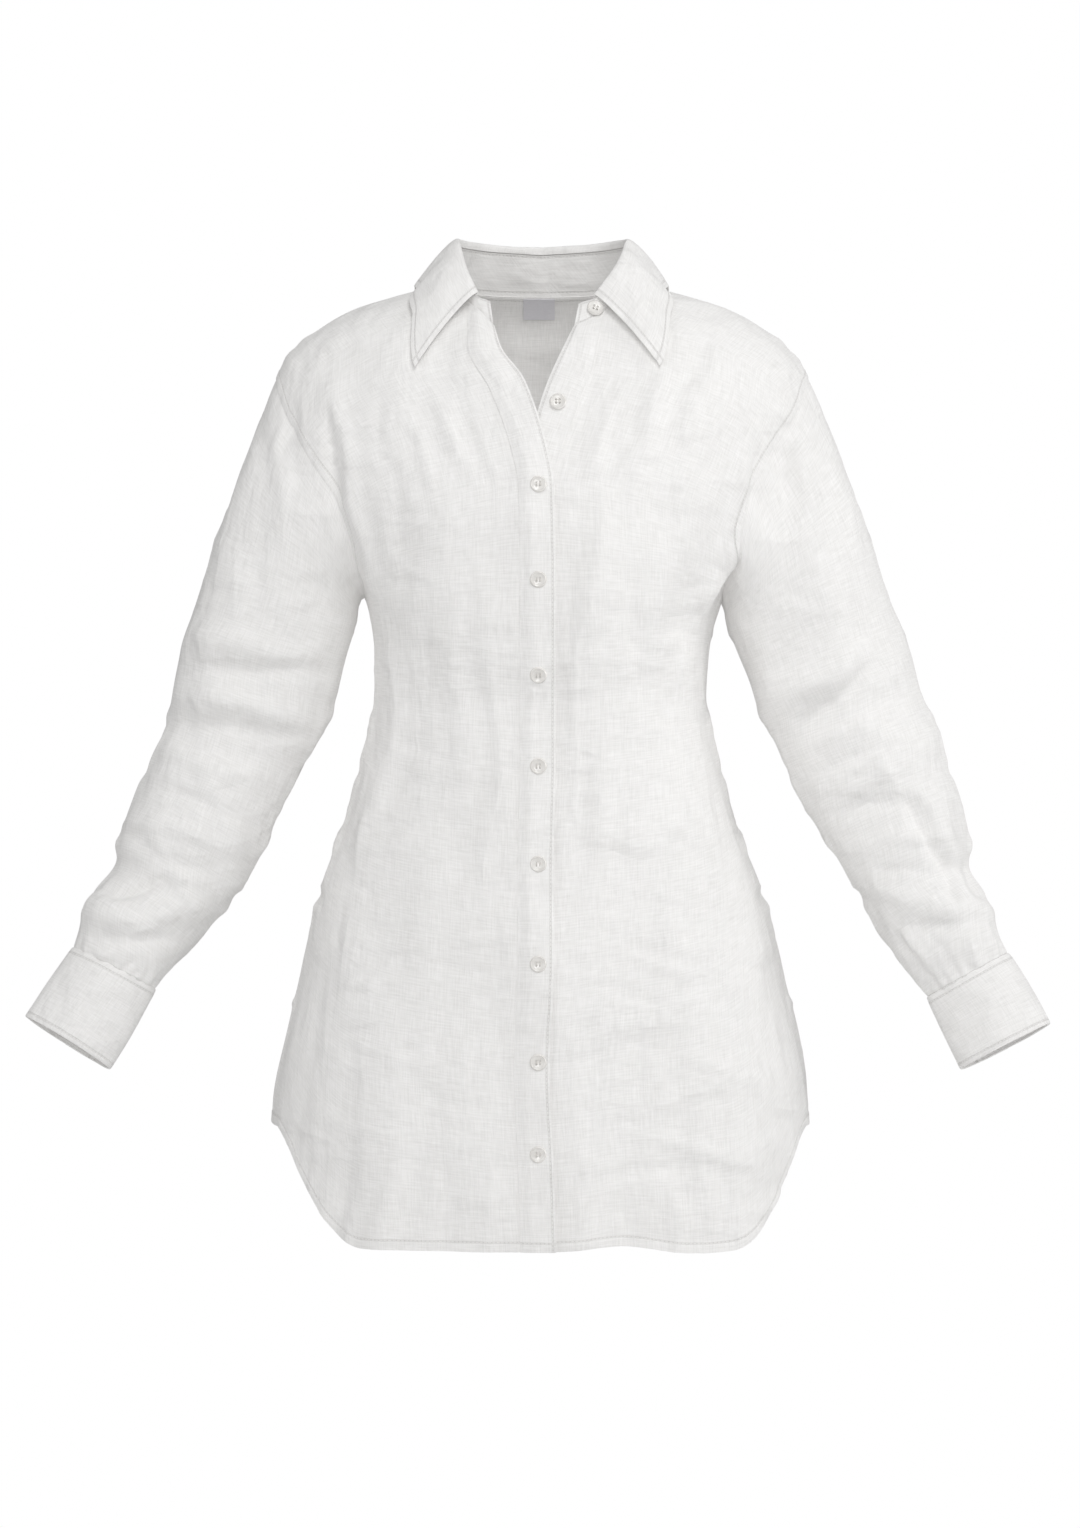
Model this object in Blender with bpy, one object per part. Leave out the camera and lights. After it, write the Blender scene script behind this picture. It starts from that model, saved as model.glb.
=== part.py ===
"""A longline linen shirt, hollow and filled out, made as its sewn pieces.

Each piece that a maker cuts is one closed solid with an even wall: two fronts, two button bands, a back, two
sleeves, two cuffs, a collar stand, a collar and a neck label. Twelve buttons close it.

Lengths in the tables are millimetres and turns are degrees round the body, 0 at centre front and 90 at the
wearer's left side. +Z is up and the fronts face -Y. The origin is midway between the two points where the
shoulder seams meet the neck, and heights are measured from it.
"""
import bmesh
import bpy
import numpy as np
from math import pi
from mathutils import Matrix, Vector
from mathutils.bvhtree import BVHTree

MM = 0.001
LEFT, RIGHT = 1, -1            # the wearer's left is at +X
SIDE_NAME = {LEFT: "left", RIGHT: "right"}

WALL = 1.2                     # one layer of cloth with its seam allowances
BAND_WALL = 1.2                # folded button band
CUFF_WALL = 1.6                # two layers and interlining
COLLAR_WALL = 1.2
SEAM_GAP = 0.3                 # between neighbouring pieces
STAND_SEAM_GAP = 0.4           # between the neck and the collar stand
CUFF_SEAM_GAP = 0.5            # between a sleeve and its cuff
LAP_GAP = 0.4                  # between the two ends of a cuff
BAND_LIFT = WALL + LAP_GAP     # the upper button band lies this far out over the lower one

# Columns and rows of each grid of cloth.
SHOULDER_COLUMNS = 8
BACK_NECK_COLUMNS = 12
NECK_ROWS = 4
ARMHOLE_ROWS = 10
SIDE_ROWS = 14
BAND_COLUMNS = 2
CAP_ROWS = 6
SLEEVE_ROWS = 12
COLLAR_ROWS = 7
STAND_ROWS = 2
CUFF_COLUMNS = 26
CUFF_ROWS = 2

COLOUR_LINEN = (0.79, 0.775, 0.745)
COLOUR_BUTTON = (0.82, 0.80, 0.77)
COLOUR_LABEL = (0.62, 0.61, 0.63)


class Table:
    """Rows of sizes under named columns, read as smooth lines along the first column."""

    def __init__(self, columns, *rows):
        ordered = sorted(rows)
        self.key = columns[0]
        self.data = dict(zip(columns, np.array(ordered, float).T))

    def __call__(self, name, at):
        return smooth_line(self.data[self.key], self.data[name], np.asarray(at, float))


def smooth_line(places, values, at):
    """Cubic through the rows whose slopes are held back, so that it never overshoots one."""
    step = np.diff(places)
    rise = np.diff(values) / step
    slope = np.zeros_like(values)
    slope[0] = rise[0]
    slope[-1] = rise[-1]
    before, after = rise[:-1], rise[1:]
    weight_before = 2 * step[1:] + step[:-1]
    weight_after = step[1:] + 2 * step[:-1]
    turning = before * after <= 0
    safe_before = np.where(turning, 1, before)
    safe_after = np.where(turning, 1, after)
    mean = (weight_before + weight_after) / (weight_before / safe_before + weight_after / safe_after)
    slope[1:-1] = np.where(turning, 0, mean)
    at = np.clip(at, places[0], places[-1])
    row = np.clip(np.searchsorted(places, at) - 1, 0, len(places) - 2)
    share = (at - places[row]) / step[row]
    ahead = share * share * (3 - 2 * share)
    leave = share * (1 - share) ** 2 * step[row] * slope[row]
    arrive = share * share * (share - 1) * step[row] * slope[row + 1]
    return values[row] * (1 - ahead) + values[row + 1] * ahead + leave + arrive


def ramp(start, end, at):
    """0 before start, 1 after end, and a soft slope between."""
    share = np.clip((at - start) / (end - start), 0, 1)
    return share * share * (3 - 2 * share)


# The body, section by section: how far the cloth reaches sideways, forwards and backwards.
TORSO = Table(
    ("height", "half_width", "front", "back"),
    (0, 78, 14, 66),
    (-6, 97, 28, 74),
    (-13, 121, 44, 81),
    (-23, 151, 60, 88),
    (-37, 176, 73, 95),
    (-56, 199, 85, 102),
    (-76, 212, 95, 107),
    (-101, 219, 105, 110),
    (-142, 207, 115, 110),
    (-180, 187, 122, 107),
    (-216, 163, 125, 103),
    (-252, 143, 124, 98),
    (-300, 134, 116, 93),
    (-336, 133, 110, 91),
    (-414, 151, 113, 99),
    (-478, 172, 118, 109),
    (-542, 190, 124, 118),
    (-606, 204, 128, 125),
    (-670, 212, 131, 129),
    (-765, 217, 134, 133),
)
SECTION_POWER = 2 / 2.25       # a little squarer than an ellipse

# Large soft folds of the body. Each runs between two places, with its half width in degrees of turn.
BODY_FOLDS = (
    # top turn, top height, low turn, low height, half width, rise
    (-58, -90, -66, -300, 9, 5),
    (58, -110, 66, -290, 9, 5),
    (-50, -300, -62, -480, 10, 3),
    (17, -190, 12, -420, 6, 3.5),
    (38, -170, 30, -400, 8, 3),
    (-24, -200, -18, -420, 8, 2.5),
    (-30, -520, -38, -980, 12, 4),
    (42, -500, 48, -980, 11, 6),
    (14, -540, 20, -980, 9, -3),
    (150, -60, 158, -420, 8, 4),
    (210, -60, 202, -420, 8, 4),
    (178, -130, 181, -460, 9, -4),
    (128, -420, 122, -980, 11, 6),
    (165, -400, 160, -980, 10, -4),
    (192, -430, 197, -980, 11, 5),
    (236, -430, 241, -980, 10, 5),
)
FOLD_FADE = 0.3                # share of a fold's length over which it rises and dies

SHOULDER_POINT = -76           # heights of the places where seams meet
UNDERARM = -252
SIDE_SEAM_END = -671
HEM_DROP = 86                  # the tails hang this far below the side seams
HEM_CURVE = (12, 52)           # degrees from the side seam over which the hem sweeps down
BACK_NECK_DROP = 2

ARMHOLE = Table(
    ("height", "front_x", "back_x"),
    (-76, 212, 212),
    (-105, 203, 206),
    (-148, 176, 184),
    (-185, 155, 164),
    (-215, 145, 150),
    (-237, 143, 145),
    (-252, 143, 143),
)
NECKLINE = Table(
    ("height", "x"),
    (0, 78),
    (-6, 74),
    (-14, 66),
    (-24, 57),
    (-35, 47),
)

# Each button band, from its seam to its free edge. The two part above the highest fastened button.
BAND_ROWS = {
    RIGHT: Table(
        ("seam_height", "seam_x", "edge_height", "edge_x"),
        (-24, -57, -46, -37),
        (-58, -57.5, -64, -31),
        (-97, -39.5, -87, -14.5),
        (-122, -29.5, -115, -3.5),
        (-148, -22, -144, 4.5),
        (-173, -17.5, -172, 9),
        (-240, -16.5, -240, 10.5),
        (-380, -16.5, -380, 10.5),
        (-460, -18, -460, 9),
        (-540, -18, -540, 9),
        (-620, -21, -620, 6),
        (-690, -18, -690, 9),
        (-757, -16, -757, 11),
    ),
    LEFT: Table(
        ("seam_height", "seam_x", "edge_height", "edge_x"),
        (-35, 47, -46, 25),
        (-76, 40, -68, 14.5),
        (-100, 30.5, -91, 4.5),
        (-124, 22.5, -116, -3.5),
        (-149, 14, -145, -11),
        (-173, 9.5, -172, -16.5),
        (-240, 9.5, -240, -16),
        (-380, 9.5, -380, -16),
        (-460, 8, -460, -17.5),
        (-540, 8, -540, -17.5),
        (-620, 5, -620, -20.5),
        (-690, 8, -690, -17.5),
        (-757, 10, -757, -15.5),
    ),
}

# Rings of each sleeve from the underarm down to the cuff seam, and the end of the cuff: where the centre
# is, and half the ring's size across the picture and from front to back.
SLEEVE = {
    RIGHT: Table(
        ("ring", "x", "y", "height", "half_width", "half_depth"),
        (0, -207, -2, -254, 64, 60),
        (1, -224, -1, -306, 63.5, 57),
        (2, -240, -1, -355, 59, 53),
        (3, -260, -4, -404, 55, 50),
        (4, -284, -11, -453, 51.5, 46),
        (5, -303, -18, -489, 45, 42),
        (6, -328, -28, -528, 39.5, 37),
        (7, -339, -32, -549, 35, 28),
    ),
    LEFT: Table(
        ("ring", "x", "y", "height", "half_width", "half_depth"),
        (0, 209, -2, -254, 64, 60),
        (1, 230, -1, -306, 64, 57),
        (2, 249, -1, -355, 61, 53),
        (3, 268, -4, -404, 57, 50),
        (4, 289, -11, -451, 51, 46),
        (5, 303, -18, -487, 44.5, 42),
        (6, 325, -28, -530, 40, 37),
        (7, 338, -32, -554, 35, 28),
    ),
}
LAST_RING = 7
CUFF_END = {RIGHT: Vector((-373, -45, -604)), LEFT: Vector((365, -44, -607))}
CUFF_HALF_WIDTH = (36.5, 39)   # at the seam and at the end
CUFF_HALF_DEPTH = (28, 28)
CUFF_OVERLAP = 40              # degrees round the arm that the two ends of a cuff share
CUFF_LAP_START = 235           # degrees round the arm where the lower end begins
CUFF_LAP_RISE = (-50, -5)      # degrees before the upper end meets the lower one over which it rises
# How far the cloth leaves the armhole sideways, at the shoulder and more at the underarm.
CAP_SPREAD = (0.12, 0.3)

# Large folds of a sleeve: the ring where each lies, how far round the arm from its outer edge, its reach
# in rings and in degrees, and its rise.
SLEEVE_FOLDS = {
    RIGHT: (
        (0.9, 60, 0.35, 55, 4),
        (1.7, 100, 0.3, 60, 5),
        (2.4, 70, 0.28, 60, -4),
        (3.3, 80, 0.35, 60, 4),
        (4.9, 40, 0.3, 50, -5),
        (5.7, 30, 0.35, 70, 6),
        (1.3, 250, 0.4, 60, 4),
        (3.0, 240, 0.4, 60, -4),
        (5.4, 230, 0.35, 60, 5),
    ),
    LEFT: (
        (1.1, 120, 0.3, 50, 4),
        (1.8, 80, 0.3, 60, -5),
        (2.6, 60, 0.35, 60, 5),
        (3.6, 90, 0.35, 50, -3),
        (4.9, 30, 0.3, 50, -5),
        (5.6, 20, 0.35, 60, 6),
        (1.5, 260, 0.4, 60, 4),
        (3.2, 250, 0.4, 60, -4),
        (5.3, 240, 0.35, 60, 4),
    ),
}

# The collar's sections from a front end (share 0) to centre back (share 1).
STAND_TOP = {
    RIGHT: Table(
        ("share", "x", "y", "height"),
        (0, 49, -67, -24),
        (0.2, 61, -46, 2),
        (0.475, 67.5, -3, 28),
        (0.75, 46, 45, 31),
        (1, 0, 61, 30),
    ),
    LEFT: Table(
        ("share", "x", "y", "height"),
        (0, 38, -70, -26),
        (0.2, 58, -49, 1),
        (0.475, 69, -3, 28),
        (0.75, 46, 45, 31),
        (1, 0, 61, 30),
    ),
}
COLLAR_EDGE = {
    RIGHT: Table(
        ("share", "turn", "height", "lift"),
        (0, 24.5, -79, 4.5),
        (0.2, 31.5, -38, 4.5),
        (0.35, 56, -11.5, 4),
        (0.475, 90, -7, 4),
        (0.6, 125, -11, 5),
        (0.75, 150, -16, 6),
        (1, 180, -18, 7),
    ),
    LEFT: Table(
        ("share", "turn", "height", "lift"),
        (0, 22.5, -79, 4.5),
        (0.2, 31.5, -38, 4.5),
        (0.35, 56, -11.5, 4),
        (0.475, 90, -7, 4),
        (0.6, 125, -11, 5),
        (0.75, 150, -16, 6),
        (1, 180, -18, 7),
    ),
}
COLLAR_INSET = 0.7             # of a column: the collar starts this far in from each end of the stand
COLLAR_CLEARANCE = 1.1         # over the stand's top line
COLLAR_ROLL = Table(
    ("share", "rise", "fullness"),
    (0, 11, 6),
    (0.2, 15, 8),
    (0.475, 19, 9),
    (1, 20, 10),
)

BUTTON_HEIGHTS = (-171.5, -244, -315.6, -386.9, -462, -538.3, -612.8, -682.7)
BUTTON_X = -2.5
OPEN_BUTTON = (12.5, -107)     # across and height, on the lower band
STAND_BUTTON = (0.07, 0.38)    # share of the neck seam from the left end, and of the stand's rise
STAND_BUTTON_GAP = 1.2         # its thread shank holds it off the stand's corner
BUTTON_RADIUS = 6.6
BUTTON_THICKNESS = 2.6
BUTTON_HOLE_RADIUS = 0.85
BUTTON_HOLE_SPREAD = 1.35      # centre of each hole from the middle, across and along
BUTTON_HOLE_SIDES = 6
BUTTON_DRILL = 8               # length of the cutter
BUTTON_SIDES = 14
BUTTON_SEARCH = 12             # how far over and under its place a button looks for the cloth
BUTTON_FEET = ((0, 0), (1, 0), (-1, 0), (0, 1), (0, -1), (0.7, 0.7), (-0.7, 0.7), (0.7, -0.7), (-0.7, -0.7))
BUTTON_PROFILE = (
    # share of the radius, share of the thickness
    (0, 0),
    (0.88, 0),
    (1, 0.42),
    (0.955, 0.81),
    (0.82, 1),
    (0.7, 0.77),
    (0, 0.77),
)
CUFF_BUTTON_TURN = 257

LABEL_CENTRE = (-2, -9.8)      # across and height, inside the back neck
LABEL_SIZE = (26, 15.5)
LABEL_WALL = 1.0
LABEL_CLEARANCE = 2.2          # inside the back, which is curved while the tab is stiff


# ----------------------------------------------------------------------------------------------------------
# The body's surface

def body_section(turn, height):
    """Points of the plain body, with turn in degrees."""
    across = np.sin(np.radians(turn))
    along = np.cos(np.radians(turn))
    reach = np.where(along > 0, TORSO("front", height), TORSO("back", height))
    x = TORSO("half_width", height) * np.sign(across) * np.abs(across) ** SECTION_POWER
    y = -reach * np.sign(along) * np.abs(along) ** SECTION_POWER
    return np.stack(np.broadcast_arrays(x, y, height), axis=-1)


def turn_at(x, height):
    """Turn of the front's point at this distance across."""
    share = np.clip(np.abs(x) / TORSO("half_width", height), 0, 1)
    return np.sign(x) * np.degrees(np.arcsin(share ** (1 / SECTION_POWER)))


def fold_rise(turn, height):
    """How far the large folds lift the cloth here."""
    total = np.zeros(np.broadcast(turn, height).shape)
    for top_turn, top_height, low_turn, low_height, half_width, rise in BODY_FOLDS:
        down = (height - top_height) / (low_height - top_height)
        middle = top_turn + (low_turn - top_turn) * down
        away = (turn - middle + 180) % 360 - 180
        life = ramp(0, FOLD_FADE, down) * ramp(0, FOLD_FADE, 1 - down)
        total = total + rise * life * np.exp(-(away / half_width) ** 2)
    return total


def folded_body(turn, height):
    """Points of the body with its large folds, which lift it level and away from the body's axis."""
    turn, height = np.broadcast_arrays(np.asarray(turn, float), np.asarray(height, float))
    points = body_section(turn, height)
    reach = np.where(np.cos(np.radians(turn)) > 0, TORSO("front", height), TORSO("back", height))
    out = np.stack([points[..., 0] / TORSO("half_width", height) ** 2, points[..., 1] / reach ** 2,
                    np.zeros_like(height)], axis=-1)
    out /= np.linalg.norm(out, axis=-1, keepdims=True)
    return points + out * fold_rise(turn, height)[..., None]


def body_normal(turn, height):
    """Unit direction straight out of the cloth."""
    east = folded_body(np.asarray(turn) + 0.5, height) - folded_body(np.asarray(turn) - 0.5, height)
    north = folded_body(turn, np.asarray(height) + 0.5) - folded_body(turn, np.asarray(height) - 0.5)
    out = np.cross(east, north)
    return out / np.linalg.norm(out, axis=-1, keepdims=True)


def body(turn, height, lift=0.0):
    """Points of the body's outer face, moved out by lift."""
    points = folded_body(turn, height)
    if np.any(lift):
        points = points + body_normal(turn, height) * np.asarray(lift, float)[..., None]
    return points


def hem_height(turn):
    """Height of the curved hem: highest at the side seams."""
    from_side = np.abs(np.abs((np.asarray(turn) + 180) % 360 - 180) - 90)
    return SIDE_SEAM_END - HEM_DROP * ramp(*HEM_CURVE, from_side)


def even_places(path, shares):
    """Places at these shares of the true length of a path of turns and heights."""
    length = np.linalg.norm(np.diff(body_section(path[:, 0], path[:, 1]), axis=0), axis=1)
    travelled = np.concatenate([[0], np.cumsum(length)]) / length.sum()
    return np.stack([np.interp(shares, travelled, path[:, axis]) for axis in range(2)], axis=1)


def steps(count):
    return np.linspace(0, 1, count + 1)


FINE = steps(400)


def armhole_path(side, edge):
    """Turns and heights down one half of an armhole: edge is front_x or back_x."""
    height = SHOULDER_POINT + (UNDERARM - SHOULDER_POINT) * FINE
    turn = turn_at(ARMHOLE(edge, height), height)
    turn[0] = turn[-1] = 90
    if edge == "back_x":
        turn = 180 - turn
    return np.stack([side * turn % 360 if edge == "back_x" else side * turn, height], axis=1)


def shoulder_path(side):
    """Turns and heights along a shoulder seam, from the neck out."""
    return np.stack([np.full_like(FINE, 90.0 * side), SHOULDER_POINT * FINE], axis=1)


# ----------------------------------------------------------------------------------------------------------
# Grids of cloth, each an array of turns and heights: rows run down, columns run round

def fill(top, bottom, start, end, fade=6):
    """Grid between four edges. The shapes of the top and bottom edges die away towards the middle."""
    across = steps(len(top) - 1)[None, :, None]
    travelled = (start[:, 1] - start[0, 1]) / (start[-1, 1] - start[0, 1])
    also = (end[:, 1] - end[0, 1]) / (end[-1, 1] - end[0, 1])
    down = ((travelled + also) / 2)[:, None, None]
    ruled = start[:, None, :] * (1 - across) + end[:, None, :] * across
    top_bow = top[None] - (top[0] * (1 - across) + top[-1] * across)
    bottom_bow = bottom[None] - (bottom[0] * (1 - across) + bottom[-1] * across)
    return ruled + top_bow * (1 - down) ** fade + bottom_bow * down ** fade


def neckline_places(side):
    """Front neckline from the shoulder seam to the band's seam."""
    lowest = BAND_ROWS[side].data["seam_height"].max()
    height = lowest * steps(NECK_ROWS) ** 1.3
    return np.stack([side * turn_at(NECKLINE("x", height), height), height], axis=1)


def band_seam_heights(side):
    """Heights of the rows below the neckline along the band's seam."""
    highest = BAND_ROWS[side].data["seam_height"].max()
    upper = highest + (UNDERARM - highest) * steps(ARMHOLE_ROWS - NECK_ROWS)
    lower = UNDERARM + (SIDE_SEAM_END - HEM_DROP - UNDERARM) * steps(SIDE_ROWS)
    return np.concatenate([upper, lower[1:]])


def side_places(turn):
    height = UNDERARM + (SIDE_SEAM_END - UNDERARM) * steps(SIDE_ROWS)
    return np.stack([np.full_like(height, turn), height], axis=1)


def front_places(side):
    """Turns and heights of a front, from the band's seam to the side."""
    top = even_places(shoulder_path(side), steps(SHOULDER_COLUMNS))
    height = band_seam_heights(side)
    seam_x = BAND_ROWS[side]("seam_x", height)
    seam = np.stack([turn_at(seam_x, height), height], axis=1)
    inner = np.concatenate([neckline_places(side), seam[1:]])
    armhole = even_places(armhole_path(side, "front_x"), steps(ARMHOLE_ROWS))
    outer = np.concatenate([armhole, side_places(90 * side)[1:]])
    turn = inner[-1, 0] + (outer[-1, 0] - inner[-1, 0]) * steps(SHOULDER_COLUMNS)
    bottom = np.stack([turn, hem_height(turn)], axis=1)
    return fill(top, bottom, inner, outer)


def back_neck_places():
    turn = 90 + 180 * steps(BACK_NECK_COLUMNS)
    return np.stack([turn, -BACK_NECK_DROP * np.sin(np.radians(turn - 90))], axis=1)


def back_places():
    """Turns and heights of the back, from the wearer's left side to the right one."""
    left = even_places(shoulder_path(LEFT), steps(SHOULDER_COLUMNS))[::-1]
    right = even_places(shoulder_path(LEFT), steps(SHOULDER_COLUMNS)) + (180, 0)
    top = np.concatenate([left, back_neck_places()[1:-1], right])
    armhole = even_places(armhole_path(LEFT, "back_x"), steps(ARMHOLE_ROWS))
    start = np.concatenate([armhole, side_places(90)[1:]])
    end = start * (-1, 1) + (360, 0)
    turn = 90 + 180 * steps(len(top) - 1)
    bottom = np.stack([turn, hem_height(turn)], axis=1)
    return fill(top, bottom, start, end)


def band_places(side):
    """Turns and heights of a button band: rows down, columns from its seam to its free edge."""
    seam_height = band_seam_heights(side)
    table = BAND_ROWS[side]
    share = steps(BAND_COLUMNS)[None, :]
    seam_x, edge_x = table("seam_x", seam_height)[:, None], table("edge_x", seam_height)[:, None]
    edge_height = table("edge_height", seam_height)[:, None]
    x = seam_x + (edge_x - seam_x) * share
    height = seam_height[:, None] + (edge_height - seam_height[:, None]) * share
    return np.stack([turn_at(x, height), height], axis=-1)


# ----------------------------------------------------------------------------------------------------------
# Solids

def material(name, colour, roughness):
    made = bpy.data.materials.new(name)
    made.use_nodes = True
    shader = made.node_tree.nodes["Principled BSDF"]
    shader.inputs["Base Color"].default_value = (*colour, 1)
    shader.inputs["Roughness"].default_value = roughness
    shader.inputs["Metallic"].default_value = 0
    return made


def add_object(name, mesh, colour, roughness):
    made = bpy.data.objects.new(name, mesh)
    bpy.context.collection.objects.link(made)
    if not mesh.materials:
        mesh.materials.append(None)
    made.material_slots[0].link = "OBJECT"
    made.material_slots[0].material = material(name, colour, roughness)
    return made


def cloth(name, grid, wall, colour=COLOUR_LINEN, roughness=0.85, ring=False):
    """A closed piece whose outer face follows a grid: rows run down, columns to the outer face's left."""
    rows, columns = grid.shape[:2]
    shape = bmesh.new()
    bmesh.ops.create_grid(shape, x_segments=columns - 1, y_segments=rows - 1, size=1)
    shape.verts.ensure_lookup_table()
    for vertex, point in zip(shape.verts, grid[::-1].reshape(-1, 3)):
        vertex.co = Vector(point) * MM
    if ring:
        bmesh.ops.remove_doubles(shape, verts=shape.verts, dist=0.00001)
    mesh = bpy.data.meshes.new(name)
    shape.to_mesh(mesh)
    shape.free()
    mesh.shade_smooth()
    made = add_object(name, mesh, colour, roughness)
    thick = made.modifiers.new("wall", "SOLIDIFY")
    thick.thickness = wall * MM
    thick.offset = -1
    thick.use_even_offset = True
    return made


def eastward(grid, side):
    """The grid with its columns running towards greater turns, as the outer face needs."""
    return grid if side == LEFT else grid[:, ::-1]


def shrink_edges(points, top=0.0, start=0.0, end=0.0):
    """Draws the rims of a grid in, to leave the seam gaps."""
    points = points.copy()
    for row, inner, gap in ((np.s_[0], np.s_[1], top), (np.s_[:, 0], np.s_[:, 1], start),
                            (np.s_[:, -1], np.s_[:, -2], end)):
        if gap:
            inward = points[inner] - points[row]
            points[row] += inward * gap / np.linalg.norm(inward, axis=-1, keepdims=True)
    return points


def make_fronts():
    for side in (RIGHT, LEFT):
        places = front_places(side)
        points = body(places[..., 0], places[..., 1])
        points = shrink_edges(points, top=SEAM_GAP, start=SEAM_GAP, end=SEAM_GAP)
        cloth("front_" + SIDE_NAME[side], eastward(points, side), WALL)


def make_back():
    places = back_places()
    cloth("back", shrink_edges(body(places[..., 0], places[..., 1]), top=SEAM_GAP), WALL)


def make_bands():
    for side in (RIGHT, LEFT):
        places = band_places(side)
        lift = np.full(places.shape[:2], BAND_LIFT if side == RIGHT else 0.0)
        points = body(places[..., 0], places[..., 1], lift)
        cloth("band_" + SIDE_NAME[side], eastward(points, -side), BAND_WALL)


def unit(vectors):
    return vectors / np.linalg.norm(vectors, axis=-1, keepdims=True)


def sleeve_frame(side, ring):
    """Centre of a ring, and its directions outwards and forwards."""
    table = SLEEVE[side]
    ring = np.asarray(ring, float)

    def centre(at):
        return np.stack([table("x", at), table("y", at), table("height", at)], axis=-1)

    along = unit(centre(np.minimum(ring + 0.5, LAST_RING)) - centre(np.maximum(ring - 0.5, 0)))
    forward = np.array((0.0, -1.0, 0.0))
    forward = unit(forward - along * (along @ forward)[..., None])
    outward = np.cross(along, forward) * -side
    return centre(ring), outward, forward, along


def sleeve_ring(side, ring, around):
    """Points round a sleeve: around is 0 at its outer edge, 90 at its front and 180 at its underarm seam."""
    centre, outward, forward, _ = sleeve_frame(side, ring)
    table = SLEEVE[side]
    rise = np.zeros_like(around, dtype=float)
    for fold_ring, fold_around, reach_rings, reach_around, height in SLEEVE_FOLDS[side]:
        away = ((around - fold_around + 180) % 360 - 180) / reach_around
        rise = rise + height * np.exp(-((ring - fold_ring) / reach_rings) ** 2 - away ** 2)
    wide = (table("half_width", ring) + rise) * np.cos(np.radians(around))
    deep = (table("half_depth", ring) + rise) * np.sin(np.radians(around))
    return centre + outward * wide[..., None] + forward * deep[..., None]


def armhole_points(side, around):
    """Points of the armhole seam that the sleeve's rings start from."""
    around = np.asarray(around, float)
    front = even_places(armhole_path(side, "front_x"), around / 180)
    back = even_places(armhole_path(side, "back_x"), (360 - around) / 180)
    places = np.where((around <= 180)[:, None], front, back)
    return body(places[:, 0], places[:, 1])


def sleeve_grid(side):
    """Points of a sleeve: its cap swings from the armhole to the first ring, then rings run to the cuff."""
    around = 360 * steps(2 * ARMHOLE_ROWS)
    seam = armhole_points(side, around % 360)
    first = sleeve_ring(side, 0.0, around)
    chord = first - seam
    length = np.linalg.norm(chord, axis=1, keepdims=True)
    spread = CAP_SPREAD[0] + CAP_SPREAD[1] * np.sin(np.radians(around / 2)) ** 2
    leave = unit(unit(chord) + np.array((side, 0, 0)) * spread[:, None])
    arrive = sleeve_frame(side, 0.0)[3]
    rows = []
    for share in steps(CAP_ROWS)[:-1]:
        ahead = share * share * (3 - 2 * share)
        swing = share * (1 - share) ** 2 * length * leave + share * share * (share - 1) * length * arrive
        rows.append(seam * (1 - ahead) + first * ahead + swing)
    rows[0] = seam + leave * SEAM_GAP
    for ring in LAST_RING * steps(SLEEVE_ROWS):
        rows.append(sleeve_ring(side, ring, around))
    return np.array(rows)


def make_sleeves():
    for side in (RIGHT, LEFT):
        grid = sleeve_grid(side)
        cloth("sleeve_" + SIDE_NAME[side], grid if side == RIGHT else grid[:, ::-1], WALL, ring=True)


def cuff_points(side, turn, along, lift=0.0):
    """Points of a cuff: along is 0 at its seam and 1 at its end; turn passes a full turn at its lap."""
    start, seam_outward, seam_forward, _ = sleeve_frame(side, float(LAST_RING))
    end = np.array(CUFF_END[side])
    axis = unit(end - start)
    end_forward = unit(seam_forward - axis * (seam_forward @ axis))
    end_outward = np.cross(axis, end_forward) * -side
    forward = unit(seam_forward + (end_forward - seam_forward) * along[..., None])
    outward = unit(seam_outward + (end_outward - seam_outward) * along[..., None])
    lapped = turn - CUFF_LAP_START - 360
    over = ramp(*CUFF_LAP_RISE, lapped) * (CUFF_WALL + LAP_GAP) + lift
    wide = CUFF_HALF_WIDTH[0] + (CUFF_HALF_WIDTH[1] - CUFF_HALF_WIDTH[0]) * along + over
    deep = CUFF_HALF_DEPTH[0] + (CUFF_HALF_DEPTH[1] - CUFF_HALF_DEPTH[0]) * along + over
    centre = start + axis * CUFF_SEAM_GAP + (end - start) * along[..., None]
    return (centre + outward * (wide * np.cos(np.radians(turn)))[..., None]
            + forward * (deep * np.sin(np.radians(turn)))[..., None])


def make_cuffs():
    for side in (RIGHT, LEFT):
        turn = CUFF_LAP_START + (360 + CUFF_OVERLAP) * steps(CUFF_COLUMNS)
        turn, along = np.meshgrid(turn, steps(CUFF_ROWS))
        grid = cuff_points(side, turn, along)
        cloth("cuff_" + SIDE_NAME[side], grid if side == RIGHT else grid[:, ::-1], CUFF_WALL)


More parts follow.
